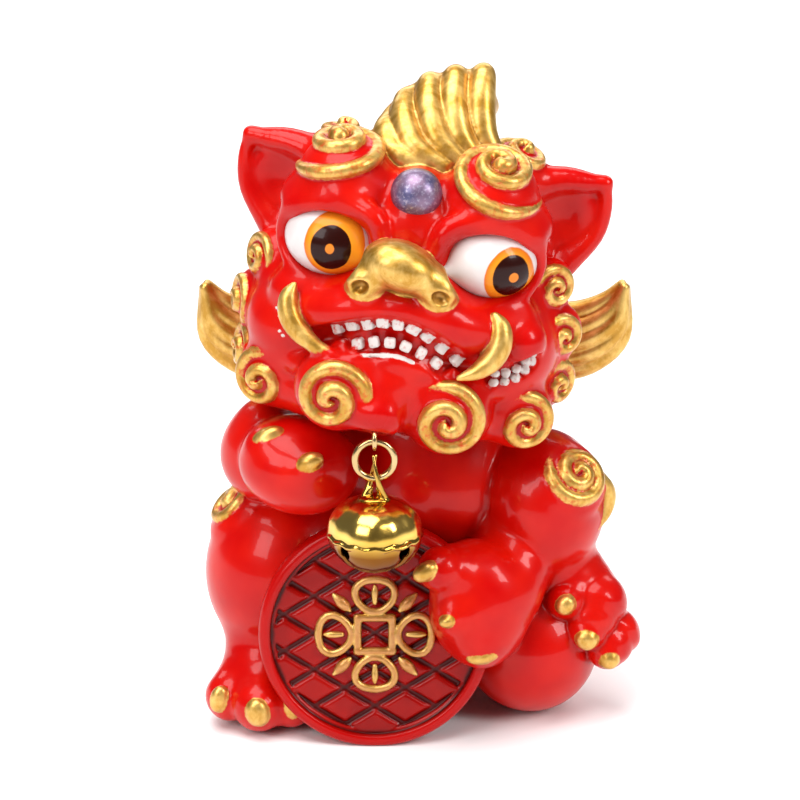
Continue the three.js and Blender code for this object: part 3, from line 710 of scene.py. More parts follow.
def add_grounded_leg(clay):
    """The bent leg that stands beside the coin, with three toes and a curl on its knee."""
    clay.add(ball((-17, -4.5, 18.6), (10.2, 10.5, 12.2), (0, 8, 0)), 1.5)
    clay.lay([(-18.5, -6, 11, 6), (-19.5, -9.5, 6, 5.4)], 1.5)
    toes = (
        [(-22, -10, 5.0, 3.6), (-23.8, -13.0, 3.9, 3.3)],
        [(-20, -11, 5.4, 4.0), (-20, -15.6, 4.0, 3.6)],
        [(-17, -11, 4.8, 3.6), (-16.0, -14.9, 3.8, 3.2)],
    )
    for toe in toes:
        clay.lay(toe, 0.9)
    knee = Curl((-23.0, -5.0, 26.6), (-0.72, -0.1, 0.7), 4.4, height=0.4, spin=30)
    clay.curl(knee, 1.4)


def add_lifted_leg(clay):
    """The leg drawn up on the right, its foot hanging, with a curl and a gold band."""
    clay.add(ball((16.6, -8, 29), (7.8, 8.6, 9.6), (0, -6, 0)), 0.8)
    clay.lay([(17.6, -8, 21.5, 5.4), (22.0, -9, 16, 4.8)], 1.2)
    toes = (
        [(20.6, -10.5, 18.2, 3.2), (19.4, -12.9, 17.4, 2.5)],
        [(23.2, -10.8, 16.0, 4.2), (22.2, -12.8, 13.4, 2.9)],
        [(25.4, -10.6, 11.4, 3.8), (24.8, -12.4, 10.2, 2.6)],
    )
    for toe in toes:
        clay.add(strand(toe, 2), 0.35)
    knee = Curl((19.8, -11.9, 33.5), (0.42, -0.62, 0.66), 4.7, hand=-1, height=0.45, spin=200,
                turns=1.8, band=0.2)
    clay.curl(knee, 1.4)
    band = [(22.6, -11.0, 34.4, 0.8), (24.4, -9.8, 31.2, 1.2), (24.2, -10.0, 28.4, 1.0),
            (22.6, -11.8, 26.4, 0.4)]
    clay.lay(band, 0.4, "gold", 0.12)


def add_coin_arm(clay):
    """The arm that comes down onto the coin, its fingers over the edge."""
    clay.lay([(9.5, -4, 27, 5.6), (12.4, -11, 23.4, 5.4), (11, -14.8, 19.6, 5.4)], 0.8)
    clay.add(ball((8.4, -16.4, 18.3), (6.6, 5.7, 8.1), (0, 6, 0)), 0.8)
    fingers = (
        [(6.5, -16.8, 22.6, 4.2), (3.2, -19.7, 24.5, 2.9)],
        [(6.4, -18.2, 18.6, 3.6), (5.2, -20.1, 18.5, 2.8)],
        [(8.7, -18.0, 14.7, 3.6), (8.5, -19.8, 14.1, 2.8)],
    )
    for finger in fingers:
        clay.add(strand(finger, 2), 2.2)


def add_tail(clay):
    """A gold flame of three licks up the back."""
    licks = (
        [(0, 15, 8, 3.4), (0, 20, 14, 4.0), (0, 20.5, 24, 3.8), (1.5, 19.2, 33, 2.2),
         (2.5, 20.4, 38, 0.7)],
        [(0, 20, 14, 3.2), (-5.5, 19.5, 22, 2.5), (-7.5, 19.5, 29, 0.7)],
        [(0, 20, 14, 3.2), (6, 19.5, 21, 2.5), (8.5, 19.5, 27, 0.7)],
    )
    for lick in licks:
        clay.lay(lick, 0.5, "gold", 0.15)


# ---- tufts --------------------------------------------------------------------------------


def make_tuft_clay(side):
    """A leaf-shaped lock at the side of the mane, grooved along its length."""
    low = np.array([9.5, -2.0, 40.0])
    high = np.array([30.0, 8.0, 57.0])
    if side < 0:
        low[0], high[0] = -high[0], -low[0]
    clay = Clay(low, high, 0.22)
    lower = np.array([(12.5, 3.6, 44.6), (17.0, 3.4, 43.0), (22.6, 2.8, 43.8), (26.9, 2.8, 47.6),
                      (27.3, 3.0, 54.2)])
    upper = np.array([(12.5, 3.8, 49.4), (17.0, 4.0, 50.2), (21.4, 3.4, 51.0), (24.6, 3.0, 52.6),
                      (26.7, 3.0, 54.8)])
    radii = (1.3, 1.5, 1.35, 1.05, 0.55)
    locks = 5
    for index in range(locks):
        share = index / (locks - 1)
        middle = lower * (1 - share) + upper * share
        bulge = np.array([0, -0.9 * math.sin(math.pi * share), 0])
        lock = [(side * x, y, z, radius) for (x, y, z), radius in zip(middle + bulge, radii)]
        clay.add(strand(lock, 5), 0.3, "gold", 0.2)
    return clay


# ---- eyes and pearl -----------------------------------------------------------------------

EYES = {
    "left": dict(iris=(-9.0, 8.3), iris_half=(3.7, 4.0), pupil=(-9.35, 8.0), pupil_half=(2.5, 2.8)),
    "right": dict(iris=(12.5, 7.0), iris_half=(2.9, 3.9), pupil=(12.7, 7.3), pupil_half=(2.1, 2.8)),
}
DOT_HALF = (0.55, 0.65)


def oval(middle, half):
    """How far outside an upright oval a point lies, seen from the front."""

    def measure(points):
        across = (points[:, 0] - middle[0]) / half[0]
        upward = (points[:, 2] - middle[1]) / half[1]
        return (np.sqrt(across**2 + upward**2) - 1) * min(half)

    return measure


def make_eye(side_name, side):
    """An eyeball with its inner corner, marked where it is painted."""
    at = np.array(EYE_AT) * (side, 1, 1)
    clay = Clay(at - 6.2, at + 6.2, 0.2)
    clay.add(ball(at, EYE_RADII, (0, 0, side * EYE_TURN)))
    clay.add(rod((side * 7.4, -12.6, 7.4), (side * 4.4, -14.4, 6.8), 2.6, 0.6), 0.8)
    eye = EYES[side_name]
    dot = (eye["pupil"][0] + 0.15 + 0.25 * side, eye["pupil"][1])
    return clay_object(
        f"eyeball_{side_name}", clay, HEAD_TURN, HEAD_CENTRE,
        iris=oval(eye["iris"], eye["iris_half"]),
        pupil=oval(eye["pupil"], eye["pupil_half"]),
        dot=oval(dot, DOT_HALF),
    )


def make_pearl():
    at = np.array(PEARL_AT)
    clay = Clay(at - 4, at + 4, 0.2)
    clay.add(ball(at, (3.15, 3.0, 3.1)))
    return clay_object("pearl_cabochon", clay, HEAD_TURN, HEAD_CENTRE)


# ---- the coin -----------------------------------------------------------------------------

COIN_RADIUS = 14.8
COIN_THICK = 3.4
COIN_RIM = 1.5
COIN_RECESS = 0.9
COIN_FOOT = np.array([-5.1, -18.6, -0.25])
COIN_TURN = np.array(Matrix.Rotation(math.radians(-8), 3, "X"))
COIN_CENTRE = COIN_FOOT + COIN_TURN @ np.array([0, 0, COIN_RADIUS])
COIN_INNER = COIN_RADIUS - COIN_RIM
LATTICE_PITCH = 4.1
LATTICE_SLOPE = 32
FACE_DEPTH = COIN_RECESS - COIN_THICK / 2


def drum(radius, front, back, corner):
    """A disc that faces forwards, from depth `front` to `back`, with rounded corners."""
    middle = (front + back) / 2
    half = (back - front) / 2

    def distance(point):
        across, depth, upward = point
        out = np.sqrt(across**2 + upward**2) - (radius - corner)
        deep = np.abs(depth - middle) - (half - corner)
        outside = np.sqrt(np.maximum(out, 0) ** 2 + np.maximum(deep, 0) ** 2)
        return outside + np.minimum(np.maximum(out, deep), 0) - corner

    return Shape((-radius, front, -radius), (radius, back, radius), distance)


def lattice_grooves(radius):
    """Two crossing sets of grooves in the coin's face."""
    angle = math.radians(LATTICE_SLOPE)

    def distance(point):
        across, depth, upward = point
        nearest = None
        for side in (1, -1):
            along = upward * math.cos(angle) - across * math.sin(angle) * side
            line = np.abs((along + LATTICE_PITCH / 2) % LATTICE_PITCH - LATTICE_PITCH / 2)
            nearest = line if nearest is None else np.minimum(nearest, line)
        groove = np.sqrt(nearest**2 + (depth - FACE_DEPTH) ** 2) - 0.5
        return np.maximum(groove, np.sqrt(across**2 + upward**2) - radius)

    reach = radius + 1
    return Shape((-reach, FACE_DEPTH - 1, -reach), (reach, FACE_DEPTH + 1, reach), distance)


def make_coin():
    """A thick disc with a rim and a latticed face, standing on the floor."""
    clay = Clay((-15.4, -2.4, -15.4), (15.4, 2.4, 15.4), 0.22)
    clay.add(drum(COIN_RADIUS, -COIN_THICK / 2, COIN_THICK / 2, 0.8))
    clay.carve(drum(COIN_INNER, -COIN_THICK / 2 - 2, FACE_DEPTH, 0.25), 0.35)
    clay.carve(lattice_grooves(COIN_INNER - 0.6), 0.3)
    clay.carve(below_floor(COIN_CENTRE, COIN_TURN), 0.2)
    return clay_object(
        "coin_casting", clay, COIN_TURN, COIN_CENTRE,
        rim=lambda points: np.hypot(points[:, 0], points[:, 2]) - COIN_INNER,
    )


def make_motif():
    """A generic four-petal rosette around a square, in raised gold strokes."""
    clay = Clay((-8.4, -2.2, -8.4), (8.4, 0.4, 8.4), 0.16)
    lift = np.array([0, FACE_DEPTH - 0.12, 0])
    stroke = 0.52

    def lay_ray(direction, steps):
        """A straight stroke out from the middle, through pairs of reach and thickness."""
        clay.lay([(*(direction * reach + lift), wide) for reach, wide in steps], 0.2)

    for quarter in range(4):
        angle = math.radians(90 * quarter)
        across = np.array([math.cos(angle), 0, math.sin(angle)])
        upward = np.array([-math.sin(angle), 0, math.cos(angle)])
        petal = []
        for step in range(13):
            turn = 2 * math.pi * step / 12
            out = 5.1 + 2.15 * math.cos(turn)
            wide = 2.5 * math.sin(turn) * (1 + 0.2 * math.cos(turn))
            petal.append((*(across * out + upward * wide + lift), 0.5))
        clay.add(strand(petal, 2), 0.2)
        ends = [across * 2.2 + upward * reach + lift for reach in (-2.2, 2.2)]
        clay.add(rod(*ends, stroke, stroke), 0.2)
        lay_ray(across + upward, ((3.2, 0.3), (4.1, 0.75), (5.2, 0.3)))
        lay_ray(across, ((4.2, 0.35), (5.6, 0.45), (6.4, 0.2)))
    return clay_object(
        "coin_motif", clay, COIN_TURN, COIN_CENTRE,
        crown=lambda points: FACE_DEPTH - 0.42 - points[:, 1],
    )


# ---- the hanging bell ---------------------------------------------------------------------

# These pieces are made around the line that they hang on, and placed there.
HANG_X, HANG_Y, RING_Z = HANG_MM
HANG_LINE = (HANG_X, HANG_Y, 0)
EYELET_Z = 43.8
EYELET_RADIUS = 1.15
RING_RADIUS = 2.4
RING_WIRE = 0.44
BELL_Z = 31.36
BELL_RADIUS = 5.9
BELL_HALF = 4.65
BELL_WALL = 0.45
PELLET_RADIUS = 1.5


def wire_loop(centre, axis_a, axis_b, radius, wire, gap=0.0, steps=28):
    """A round loop of wire; `gap` is the part of a turn that is left open at its end."""
    axis_a = np.array(axis_a, float)
    axis_b = np.array(axis_b, float)
    turn = 2 * math.pi * (1 - gap)
    points = []
    for step in range(steps + 1):
        angle = turn * (step / steps) + math.pi * gap
        place = np.array(centre) + radius * (math.cos(angle) * axis_a + math.sin(angle) * axis_b)
        points.append((*place, wire))
    return strand(points, 2)


def make_eyelet():
    """A small wire eye under the chin, its stem going up and back into the head."""
    clay = Clay((-2, -2, 41.5), (2, 6, 47.5), 0.11)
    clay.add(wire_loop((0, 0, EYELET_Z), (0, 1, 0), (0, 0, 1), EYELET_RADIUS, 0.32))
    clay.add(rod((0, 1, EYELET_Z + 0.7), (0, 4.6, EYELET_Z + 2.8), 0.42, 0.42), 0.2)
    return clay_object("eyelet_loop", clay, centre=HANG_LINE)


def make_ring():
    """A jump ring, its cut at the upper left."""
    reach = RING_RADIUS + 0.8
    clay = Clay((-reach, -1, RING_Z - reach), (reach, 1, RING_Z + reach), 0.09)
    across, upward = (-0.5, 0, 0.866), (0.866, 0, 0.5)
    clay.add(wire_loop((0, 0, RING_Z), across, upward, RING_RADIUS, RING_WIRE, 0.012, 40))
    return clay_object("ring_wire", clay, centre=HANG_LINE)


def bell_skin(grow):
    """The bell's outside: two domes on a crimped seam, grown by `grow`."""
    at = (0, 0, BELL_Z)

    def distance(point):
        across, depth, upward = (point[i] - at[i] for i in range(3))
        out = np.sqrt(across**2 + depth**2)
        angle = np.arctan2(depth, across)
        lobes = 1 + 0.034 * np.cos(4 * angle + 0.6) + 0.008 * np.cos(12 * angle)
        flat = np.where(upward > 0, 2.5, 2.1)
        wide = out / ((BELL_RADIUS - 0.25 + grow) * lobes)
        tall = np.abs(upward) / (BELL_HALF + grow)
        near = (wide**flat + tall**flat) ** (1 / flat)
        return (near - 1) * (BELL_HALF + grow)

    reach = np.array([BELL_RADIUS, BELL_RADIUS, BELL_HALF]) + 0.8
    return Shape(np.array(at) - reach, np.array(at) + reach, distance)


def make_bell():
    """A hollow jingle bell with crossed slots underneath that end in round holes."""
    clay = Clay((-6.8, -6.8, BELL_Z - 5.8), (6.8, 6.8, BELL_Z + 5.8), 0.15)
    clay.add(bell_skin(0))
    seam = []
    for step in range(61):
        angle = 2 * math.pi * step / 60
        reach = BELL_RADIUS - 0.22 + 0.08 * math.cos(15 * angle)
        rise = BELL_Z + 0.12 * math.sin(15 * angle)
        seam.append((reach * math.cos(angle), reach * math.sin(angle), rise, 0.24))
    clay.add(strand(seam, 1), 0.3)
    clay.carve(bell_skin(-BELL_WALL), 0.05)
    for quarter in range(4):
        angle = math.radians(45 + 90 * quarter)
        out = np.array([math.cos(angle), math.sin(angle), 0])
        centre = np.array([0, 0, BELL_Z])
        slot = [(*(centre + out * reach + (0, 0, rise)), 0.38)
                for reach, rise in ((0, -4.5), (2.2, -4.2), (4.2, -3.1), (5.2, -1.5))]
        clay.carve(strand(slot), 0.25)
        clay.carve(ball(centre + out * 5.35 + (0, 0, -1.1), (0.85, 0.85, 0.85)), 0.25)
    return clay_object(
        "jingle_bell", clay, centre=HANG_LINE, lower=lambda points: BELL_Z - points[:, 2]
    )


def make_shank():
    """A folded strip: a prong before and one behind the ring's wire, pinched above it."""
    top = BELL_Z + BELL_HALF
    low = RING_Z - RING_RADIUS
    aside = RING_WIRE + 0.36
    clay = Clay((-2.6, -2.6, top - 1.2), (2.6, 2.6, low + 4.0), 0.1)
    clay.add(ball((0, 0, top - 0.1), (2.0, 1.5, 0.55)))
    for _, side in SIDES:
        prong = [
            (1.3, -side * 0.3, top, 0.5), (0.8, -side * 0.6, top + 1.2, 0.44),
            (0.4, -side * aside, low, 0.3), (0.1, -side * 0.6, low + 1.4, 0.26),
            (-0.15, -side * 0.1, low + 2.9, 0.2),
        ]
        clay.lay(prong, 0.15, side=side)
        clay.lay([(0.9, 0.5, top, 0.5), (0.4, 0.3, top + 1.2, 0.3)], 0.3, side=side)
    clay.carve(bell_skin(0.02), 0.05)
    return clay_object("bell_shank_strip", clay, centre=HANG_LINE)


def make_pellet():
    """The loose ball at the bottom of the bell."""
    rest = BELL_Z - BELL_HALF + BELL_WALL + PELLET_RADIUS + 0.3
    at = np.array([0, 0, rest])
    clay = Clay(at - 2, at + 2, 0.15)
    clay.add(ball(at, (1.48, 1.5, 1.45)))
    return clay_object("rattle_pellet", clay, centre=HANG_LINE)


# ---- materials ----------------------------------------------------------------------------


class Nodes:
    """A material's node tree with short calls to add and join nodes."""

    def __init__(self, name):
        self.material = bpy.data.materials.new(name)
        self.material.use_nodes = True
        self.tree = self.material.node_tree
        self.tree.nodes.clear()

    def add(self, kind, inputs=None, **settings):
        node = self.tree.nodes.new(kind)
        for key, value in settings.items():
            setattr(node, key, value)
        for key, value in (inputs or {}).items():
            self.set(node.inputs[key], value)
        return node

    def set(self, socket, value):
        if isinstance(value, bpy.types.NodeSocket):
            self.tree.links.new(value, socket)
        elif isinstance(value, bpy.types.Node):
            self.tree.links.new(value.outputs[0], socket)
        else:
            socket.default_value = value

    def attribute(self, name):
        return self.add("ShaderNodeAttribute", attribute_name=name).outputs["Fac"]

    def math(self, operation, first, second=0.0):
        return self.add("ShaderNodeMath", {0: first, 1: second}, operation=operation)

    def times(self, first, second):
        return self.math("MULTIPLY", first, second)

    def wobble(self, noise, amount):
        """Noise around zero."""
        return self.times(self.math("SUBTRACT", noise, 0.5), amount)

    def marked(self, name, low, high):
        """A ramp over a mark that the mesh carries."""
        return self.ramp(self.attribute(name), low, high)

    def noise(self, scale, detail=3.0, roughness=0.55, stretch=None):
        place = self.add("ShaderNodeTexCoord").outputs["Object"]
        if stretch:
            place = self.add("ShaderNodeMapping", {"Vector": place, "Scale": stretch})
        settings = {"Vector": place, "Scale": scale, "Detail": detail, "Roughness": roughness}
        return self.add("ShaderNodeTexNoise", settings).outputs["Fac"]

    def ramp(self, value, low, high):
        """0 at `low` and 1 at `high`, straight between."""
        settings = {"Value": value, "From Min": low, "From Max": high}
        return self.add("ShaderNodeMapRange", settings, clamp=True).outputs[0]

    def mix(self, factor, first, second):
        """A colour mix; colours are linear (r, g, b)."""
        node = self.add("ShaderNodeMix", data_type="RGBA")
        self.set(node.inputs["Factor"], factor)
        for socket, colour in ((node.inputs[6], first), (node.inputs[7], second)):
            self.set(socket, (*colour, 1) if isinstance(colour, tuple) else colour)
        return node.outputs[2]

    def blend(self, factor, first, second):
        """A mix of two numbers."""
        node = self.add("ShaderNodeMix", data_type="FLOAT")
        for socket, value in zip(node.inputs, (factor, None, first, second)):
            if value is not None:
                self.set(socket, value)
        return node.outputs[0]

    def bump(self, height, strength, distance=0.0002, normal=None):
        settings = {"Height": height, "Strength": strength, "Distance": distance}
        node = self.add("ShaderNodeBump", settings)
        if normal is not None:
            self.set(node.inputs["Normal"], normal)
        return node.outputs[0]

    def finish(self, **sockets):
        shader = self.add("ShaderNodeBsdfPrincipled")
        for key, value in sockets.items():
            value = (*value, 1) if isinstance(value, tuple) and len(value) == 3 else value
            self.set(shader.inputs[key.replace("_", " ")], value)
        output = self.add("ShaderNodeOutputMaterial")
        self.tree.links.new(shader.outputs[0], output.inputs["Surface"])
        return self.material


# Linear colours.
RED = (0.50, 0.001, 0.0006)
RED_WARM = (0.60, 0.006, 0.001)
# painted shade: the red lacquer's colour where it lies in a crease
RED_CREASE_SHADE = (0.17, 0.0, 0.0)
GOLD = (0.51, 0.26, 0.035)
# GOLD_PALE serves the brush strokes and also the painted highlight on proud ridges
GOLD_PALE = (0.85, 0.56, 0.17)
# painted shade: the gold's colour where it lies in a crease
GOLD_CREASE_SHADE = (0.24, 0.08, 0.01)
GOLD_WORN = (0.42, 0.06, 0.01)
CHALK = (0.66, 0.60, 0.57)
COIN_RED = (0.26, 0.001, 0.0005)
COIN_RED_WARM = (0.36, 0.003, 0.001)
# painted shade: the colour of the coin's grooves
COIN_GROOVE_SHADE = (0.03, 0.0, 0.0)
IVORY = (0.74, 0.70, 0.69)
IVORY_GREY = (0.64, 0.57, 0.56)
IRIS = (0.80, 0.27, 0.015)
IRIS_EDGE = (0.66, 0.14, 0.008)
IRIS_DOT = (0.78, 0.22, 0.02)
PUPIL = (0.020, 0.002, 0.001)
PEARL_BLUE = (0.10, 0.09, 0.20)
PEARL_MAUVE = (0.24, 0.15, 0.24)
PEARL_SPECK = (0.34, 0.29, 0.40)
# painted shade at the pearl's outline
PEARL_EDGE = (0.07, 0.04, 0.11)
BRASS = (0.90, 0.62, 0.16)
BRASS_SHADE = (0.72, 0.42, 0.06)
PALE_BRASS = (0.93, 0.74, 0.38)
PALE_BRASS_SHADE = (0.80, 0.55, 0.22)
STEEL = (0.50, 0.50, 0.52)
STEEL_SHADE = (0.38, 0.38, 0.40)
TARNISH = (0.30, 0.12, 0.02)
RED_REFLECTION = (0.15, 0.035, 0.006)
PAPER = (0.93, 0.93, 0.93)
PAPER_GREY = (0.90, 0.90, 0.90)


def painted_lacquer():
    """Clear-coated red with hand-painted gold and white where the casting stands proud."""
    nodes = Nodes("painted_lacquer")
    broad = nodes.noise(160, 2)
    fine = nodes.noise(1500, 4)
    wobble = nodes.wobble(fine, 0.36)
    crease = nodes.attribute("crease")
    # deep: how far into a crease; it darkens the red and the gold as painted shade
    deep = nodes.ramp(crease, 0.04, 0.22)
    # proud: how far out on a ridge; it pales the gold as a painted highlight
    proud = nodes.ramp(crease, -0.05, -0.22)
    red = nodes.mix(nodes.ramp(broad, 0.35, 0.7), RED, RED_WARM)
    # painted shade: the red darkens in creases
    red = nodes.mix(nodes.times(deep, 0.75), red, RED_CREASE_SHADE)
    strokes = nodes.noise(420, 4, 0.65, (1, 2.4, 0.7))
    gold = nodes.mix(nodes.ramp(strokes, 0.4, 0.7), GOLD, GOLD_PALE)
    # painted highlight: the gold is paler on proud ridges
    gold = nodes.mix(nodes.times(proud, 0.35), gold, GOLD_PALE)
    # painted shade: the gold darkens in creases
    gold = nodes.mix(nodes.times(deep, 0.85), gold, GOLD_CREASE_SHADE)
    edge = nodes.math("ADD", nodes.attribute("gold"), wobble)
    worn = nodes.times(nodes.ramp(strokes, 0.68, 0.76), 0.25)
    gilt = nodes.math("SUBTRACT", nodes.ramp(edge, 0.07, -0.04), worn)
    gilt = nodes.math("MAXIMUM", gilt, 0.0)
    chalk = nodes.ramp(nodes.math("ADD", nodes.attribute("white"), wobble), 0.06, -0.02)
    colour = nodes.mix(gilt, red, gold)
    colour = nodes.mix(chalk, colour, CHALK)
    metal = nodes.times(gilt, 0.85)
    matt = nodes.blend(gilt, nodes.blend(broad, 0.24, 0.36), nodes.blend(strokes, 0.3, 0.5))
    ripple = nodes.bump(nodes.noise(240, 2), 0.16, 0.0003)
    grain = nodes.bump(strokes, nodes.blend(gilt, 0.02, 0.35), 0.00012, ripple)
    return nodes.finish(
        Base_Color=colour, Metallic=metal, Roughness=matt, Normal=grain,
        Specular_IOR_Level=0.12, Coat_Weight=0.4, Coat_Roughness=0.04, Coat_IOR=1.38,
    )


def coin_lacquer():
    """The coin's deeper red, with painted shade that makes its grooves almost black."""
    nodes = Nodes("coin_lacquer")
    broad = nodes.noise(200, 2)
    grooves = nodes.marked("crease", 0.02, 0.14)
    red = nodes.mix(nodes.ramp(broad, 0.35, 0.7), COIN_RED, COIN_RED_WARM)
    # painted shade: the grooves darken almost to black
    colour = nodes.mix(nodes.times(grooves, 0.9), red, COIN_GROOVE_SHADE)
    rim = nodes.marked("rim", -0.1, 0.3)
    colour = nodes.mix(nodes.times(rim, 0.7), colour, RED)
    ripple = nodes.bump(nodes.noise(260, 3), 0.2, 0.0003)
    return nodes.finish(
        Base_Color=colour, Roughness=nodes.blend(broad, 0.26, 0.4), Normal=ripple,
        Specular_IOR_Level=0.12, Coat_Weight=0.35, Coat_Roughness=0.08, Coat_IOR=1.35,
    )


def gold_paint():
    """Brushed gold paint that has worn to the red under it on its flats."""
    nodes = Nodes("gold_paint")
    strokes = nodes.noise(700, 5, 0.6, (1, 1, 2.2))
    deep = nodes.marked("crease", 0.03, 0.2)
    proud = nodes.marked("crease", -0.05, -0.3)
    gold = nodes.mix(nodes.ramp(strokes, 0.35, 0.65), GOLD, GOLD_PALE)
    # painted shade: the gold darkens in creases
    gold = nodes.mix(nodes.times(deep, 0.8), gold, GOLD_CREASE_SHADE)
    crown = nodes.math("ADD", nodes.attribute("crown"), nodes.times(strokes, 0.3))
    bare = nodes.times(nodes.ramp(crown, 0.2, 0.34), 0.6)
    colour = nodes.mix(bare, gold, GOLD_WORN)
    # painted highlight: the gold is paler on proud ridges
    colour = nodes.mix(nodes.times(proud, 0.3), colour, GOLD_PALE)
    ripple = nodes.bump(strokes, 0.5, 0.00015)
    return nodes.finish(
        Base_Color=colour, Metallic=nodes.blend(bare, 0.88, 0.3),
        Roughness=nodes.blend(strokes, 0.28, 0.5), Normal=ripple,
        Coat_Weight=0.4, Coat_Roughness=0.1,
    )


def eye_enamel():
    """White enamel with an orange iris, a dark pupil and a small orange dot."""
    nodes = Nodes("eye_enamel")
    fine = nodes.noise(900, 3)
    wobble = nodes.wobble(fine, 0.12)
    soft = nodes.noise(260, 2)

    def inside(name):
        return nodes.ramp(nodes.math("ADD", nodes.attribute(name), wobble), 0.05, -0.05)

    white = nodes.mix(nodes.ramp(soft, 0.3, 0.75), IVORY, IVORY_GREY)
    rim = nodes.marked("iris", -0.55, 0.0)
    orange = nodes.mix(rim, IRIS, IRIS_EDGE)
    colour = nodes.mix(inside("iris"), white, orange)
    colour = nodes.mix(inside("pupil"), colour, PUPIL)
    colour = nodes.mix(inside("dot"), colour, IRIS_DOT)
    ripple = nodes.bump(fine, 0.06, 0.0002)
    return nodes.finish(
        Base_Color=colour, Roughness=nodes.blend(soft, 0.22, 0.34), Normal=ripple,
        Specular_IOR_Level=0.1, Coat_Weight=0.3, Coat_Roughness=0.05, Coat_IOR=1.4,
    )


def pearl_paint():
    """Pearlescent blue and purple with a pink bloom, and painted shade at its outline."""
    nodes = Nodes("pearl_paint")
    cloud = nodes.noise(330, 4, 0.6)
    speck = nodes.noise(2600, 3)
    graze = nodes.add("ShaderNodeLayerWeight", {"Blend": 0.45}).outputs["Facing"]
    colour = nodes.mix(nodes.ramp(cloud, 0.35, 0.65), PEARL_BLUE, PEARL_MAUVE)
    colour = nodes.mix(nodes.ramp(speck, 0.5, 0.7), colour, PEARL_SPECK)
    # painted shade: the pearl darkens towards its outline as seen
    colour = nodes.mix(nodes.ramp(graze, 0.45, 0.95), colour, PEARL_EDGE)
    ripple = nodes.bump(speck, 0.22, 0.0001)
    return nodes.finish(
        Base_Color=colour, Metallic=0.6, Roughness=nodes.blend(cloud, 0.32, 0.46), Normal=ripple,
        Coat_Weight=0.3, Coat_Roughness=0.12,
    )


def plated(name, colour, shade, roughness):
    """Bright plated metal with faint dents, scratches and darker hollows, and a painted red
    reflection towards its bottom.
    """
    nodes = Nodes(name)
    dents = nodes.noise(180, 2)
    scratch = nodes.noise(900, 4, 0.6, (1, 5, 1))
    deep = nodes.marked("crease", 0.04, 0.2)
    base = nodes.mix(nodes.ramp(dents, 0.3, 0.7), colour, shade)
    base = nodes.mix(nodes.times(deep, 0.6), base, TARNISH)
    # painted reflection: darker and redder towards the bottom, from the lower mark
    under = nodes.marked("lower", -1.0, 1.2)
    base = nodes.mix(nodes.times(under, 0.9), base, RED_REFLECTION)
    ripple = nodes.bump(dents, 0.25, 0.0004)
    grain = nodes.bump(scratch, 0.06, 0.0001, ripple)
    return nodes.finish(
        Base_Color=base, Metallic=1.0,
        Roughness=nodes.blend(scratch, roughness, roughness + 0.12), Normal=grain,
    )


# ---- putting the pieces in the frame ------------------------------------------------------

BODY_NODES = [
    "body", "grounded_leg", "raised_arm", "coin_arm", "lifted_leg", "tail",
    "knee_curl_left", "knee_curl_right", *CLAWS,
]
HEAD_NODES = [
    "head", "nose", "upper_teeth", "lower_teeth", "crest", *head_frame_curls(),
    *[f"{part}_{side}" for part in ("tusk", "ear", "side_teeth") for side, _ in SIDES],
]


def fit(piece, nodes, body, material):
    """Stands a piece in for CAD nodes, on a body, with its material."""
    piece.data.materials.append(material)
    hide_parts(*nodes)
    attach(piece, body)


lacquer = painted_lacquer()
enamel = eye_enamel()
brass = plated("bell_brass_plate", BRASS, BRASS_SHADE, 0.12)
pale_brass = plated("ring_brass_plate", PALE_BRASS, PALE_BRASS_SHADE, 0.14)
steel = plated("pellet_steel_plate", STEEL, STEEL_SHADE, 0.3)

head = clay_object("head_casting", make_head_clay(), HEAD_TURN, HEAD_CENTRE)
fit(head, HEAD_NODES, "statue", lacquer)
body = clay_object("body_casting", make_body_clay())
fit(body, BODY_NODES, "statue", lacquer)
for side_name, side in SIDES:
    tuft = clay_object(f"mane_lock_{side_name}", make_tuft_clay(side))
    fit(tuft, [f"side_tuft_{side_name}"], "statue", lacquer)
    eye = make_eye(side_name, side)
    fit(eye, [f"eye_{side_name}"], "statue", enamel)
fit(make_pearl(), ["forehead_pearl"], "statue", pearl_paint())
fit(make_coin(), ["coin"], "statue", coin_lacquer())
fit(make_motif(), ["coin_emblem"], "statue", gold_paint())
fit(make_eyelet(), ["chin_eyelet"], "statue", pale_brass)
fit(make_ring(), ["jump_ring"], "jump_ring", pale_brass)
fit(make_bell(), ["bell_shell"], "bell", brass)
fit(make_shank(), ["bell_shank"], "bell", brass)
fit(make_pellet(), ["bell_pellet"], "pellet", steel)

# ---- floor, lights and camera -------------------------------------------------------------


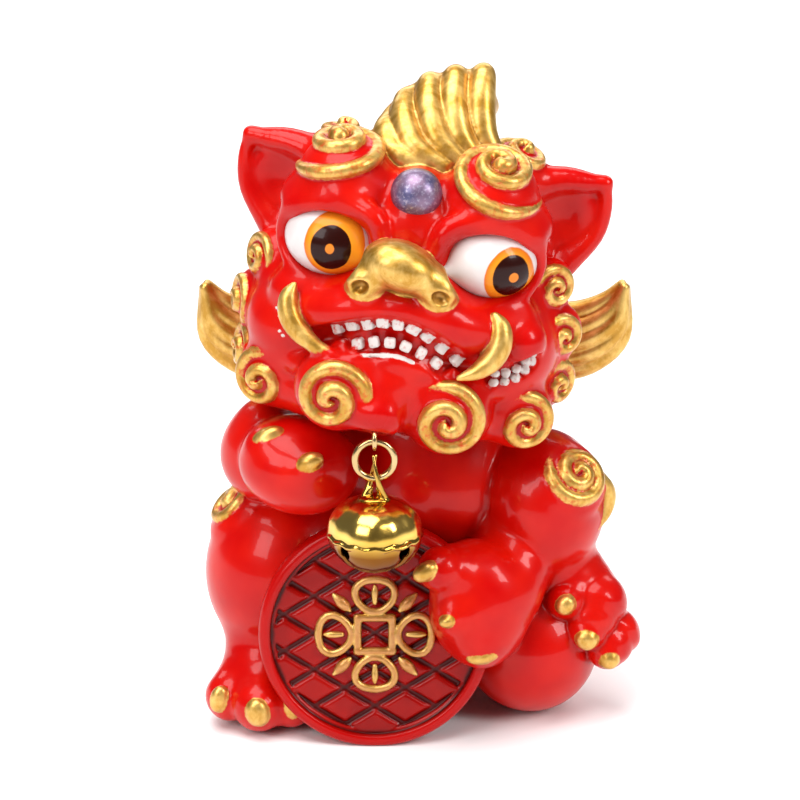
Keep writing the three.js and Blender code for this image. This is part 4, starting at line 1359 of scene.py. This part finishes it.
def make_floor():
    """White paper to stand on, 3.2 m across."""
    size = 1.6
    mesh = bpy.data.meshes.new("studio_floor")
    corners = [(-size, -size, 0), (size, -size, 0), (size, size, 0), (-size, size, 0)]
    mesh.from_pydata(corners, [], [(0, 1, 2, 3)])
    floor = bpy.data.objects.new("studio_floor", mesh)
    bpy.context.scene.collection.objects.link(floor)
    nodes = Nodes("studio_paper")
    tone = nodes.mix(nodes.noise(6, 2), PAPER, PAPER_GREY)
    floor.data.materials.append(nodes.finish(Base_Color=tone, Roughness=0.9))


def aimed(item, place, target):
    """Moves an object to a place and turns it towards a target."""
    item.location = place
    item.rotation_euler = (target - place).to_track_quat("-Z", "Y").to_euler()


# Softboxes: place and (width, height) in metres, and power in watts.
SOFTBOXES = {
    "top_softbox": ((-0.10, -0.12, 0.62), (0.50, 0.50), 5.0),
    "key_softbox": ((-0.34, -0.40, 0.34), (0.24, 0.30), 1.5),
    "window_softbox": ((0.42, -0.26, 0.34), (0.14, 0.26), 1.6),
    "rim_softbox": ((0.0, 0.45, 0.40), (0.8, 0.25), 2.0),
}
CAMERA_DISTANCE = 0.420
CAMERA_RISE = math.radians(20)
CAMERA_LENS = 145.9


def add_softbox(name, place, size, power, target):
    """A rectangular area light."""
    lamp = bpy.data.lights.new(name, "AREA")
    lamp.shape = "RECTANGLE"
    lamp.size, lamp.size_y = size
    lamp.energy = power
    light = bpy.data.objects.new(name, lamp)
    bpy.context.scene.collection.objects.link(light)
    aimed(light, Vector(place), target)


def add_camera(target):
    """A long lens straight in front of the statue, looking down a little."""
    camera = bpy.data.objects.new("photo_camera", bpy.data.cameras.new("photo_camera"))
    camera.data.lens = CAMERA_LENS
    camera.data.sensor_width = 36
    camera.data.clip_start = 0.01
    bpy.context.scene.collection.objects.link(camera)
    away = Vector((0, -math.cos(CAMERA_RISE), math.sin(CAMERA_RISE)))
    aimed(camera, target + away * CAMERA_DISTANCE, target)
    bpy.context.scene.camera = camera


camera_target = CASTING + Vector((-1.9, 0, 39.9)) * MM
make_floor()
add_camera(camera_target)
for softbox_name, settings in SOFTBOXES.items():
    add_softbox(softbox_name, *settings, camera_target)

world = bpy.data.worlds.new("studio_air")
world.use_nodes = True
background = world.node_tree.nodes["Background"]
background.inputs["Color"].default_value = (1, 1, 1, 1)
background.inputs["Strength"].default_value = 0.14
bpy.context.scene.world = world
bpy.context.scene.view_settings.view_transform = "Standard"
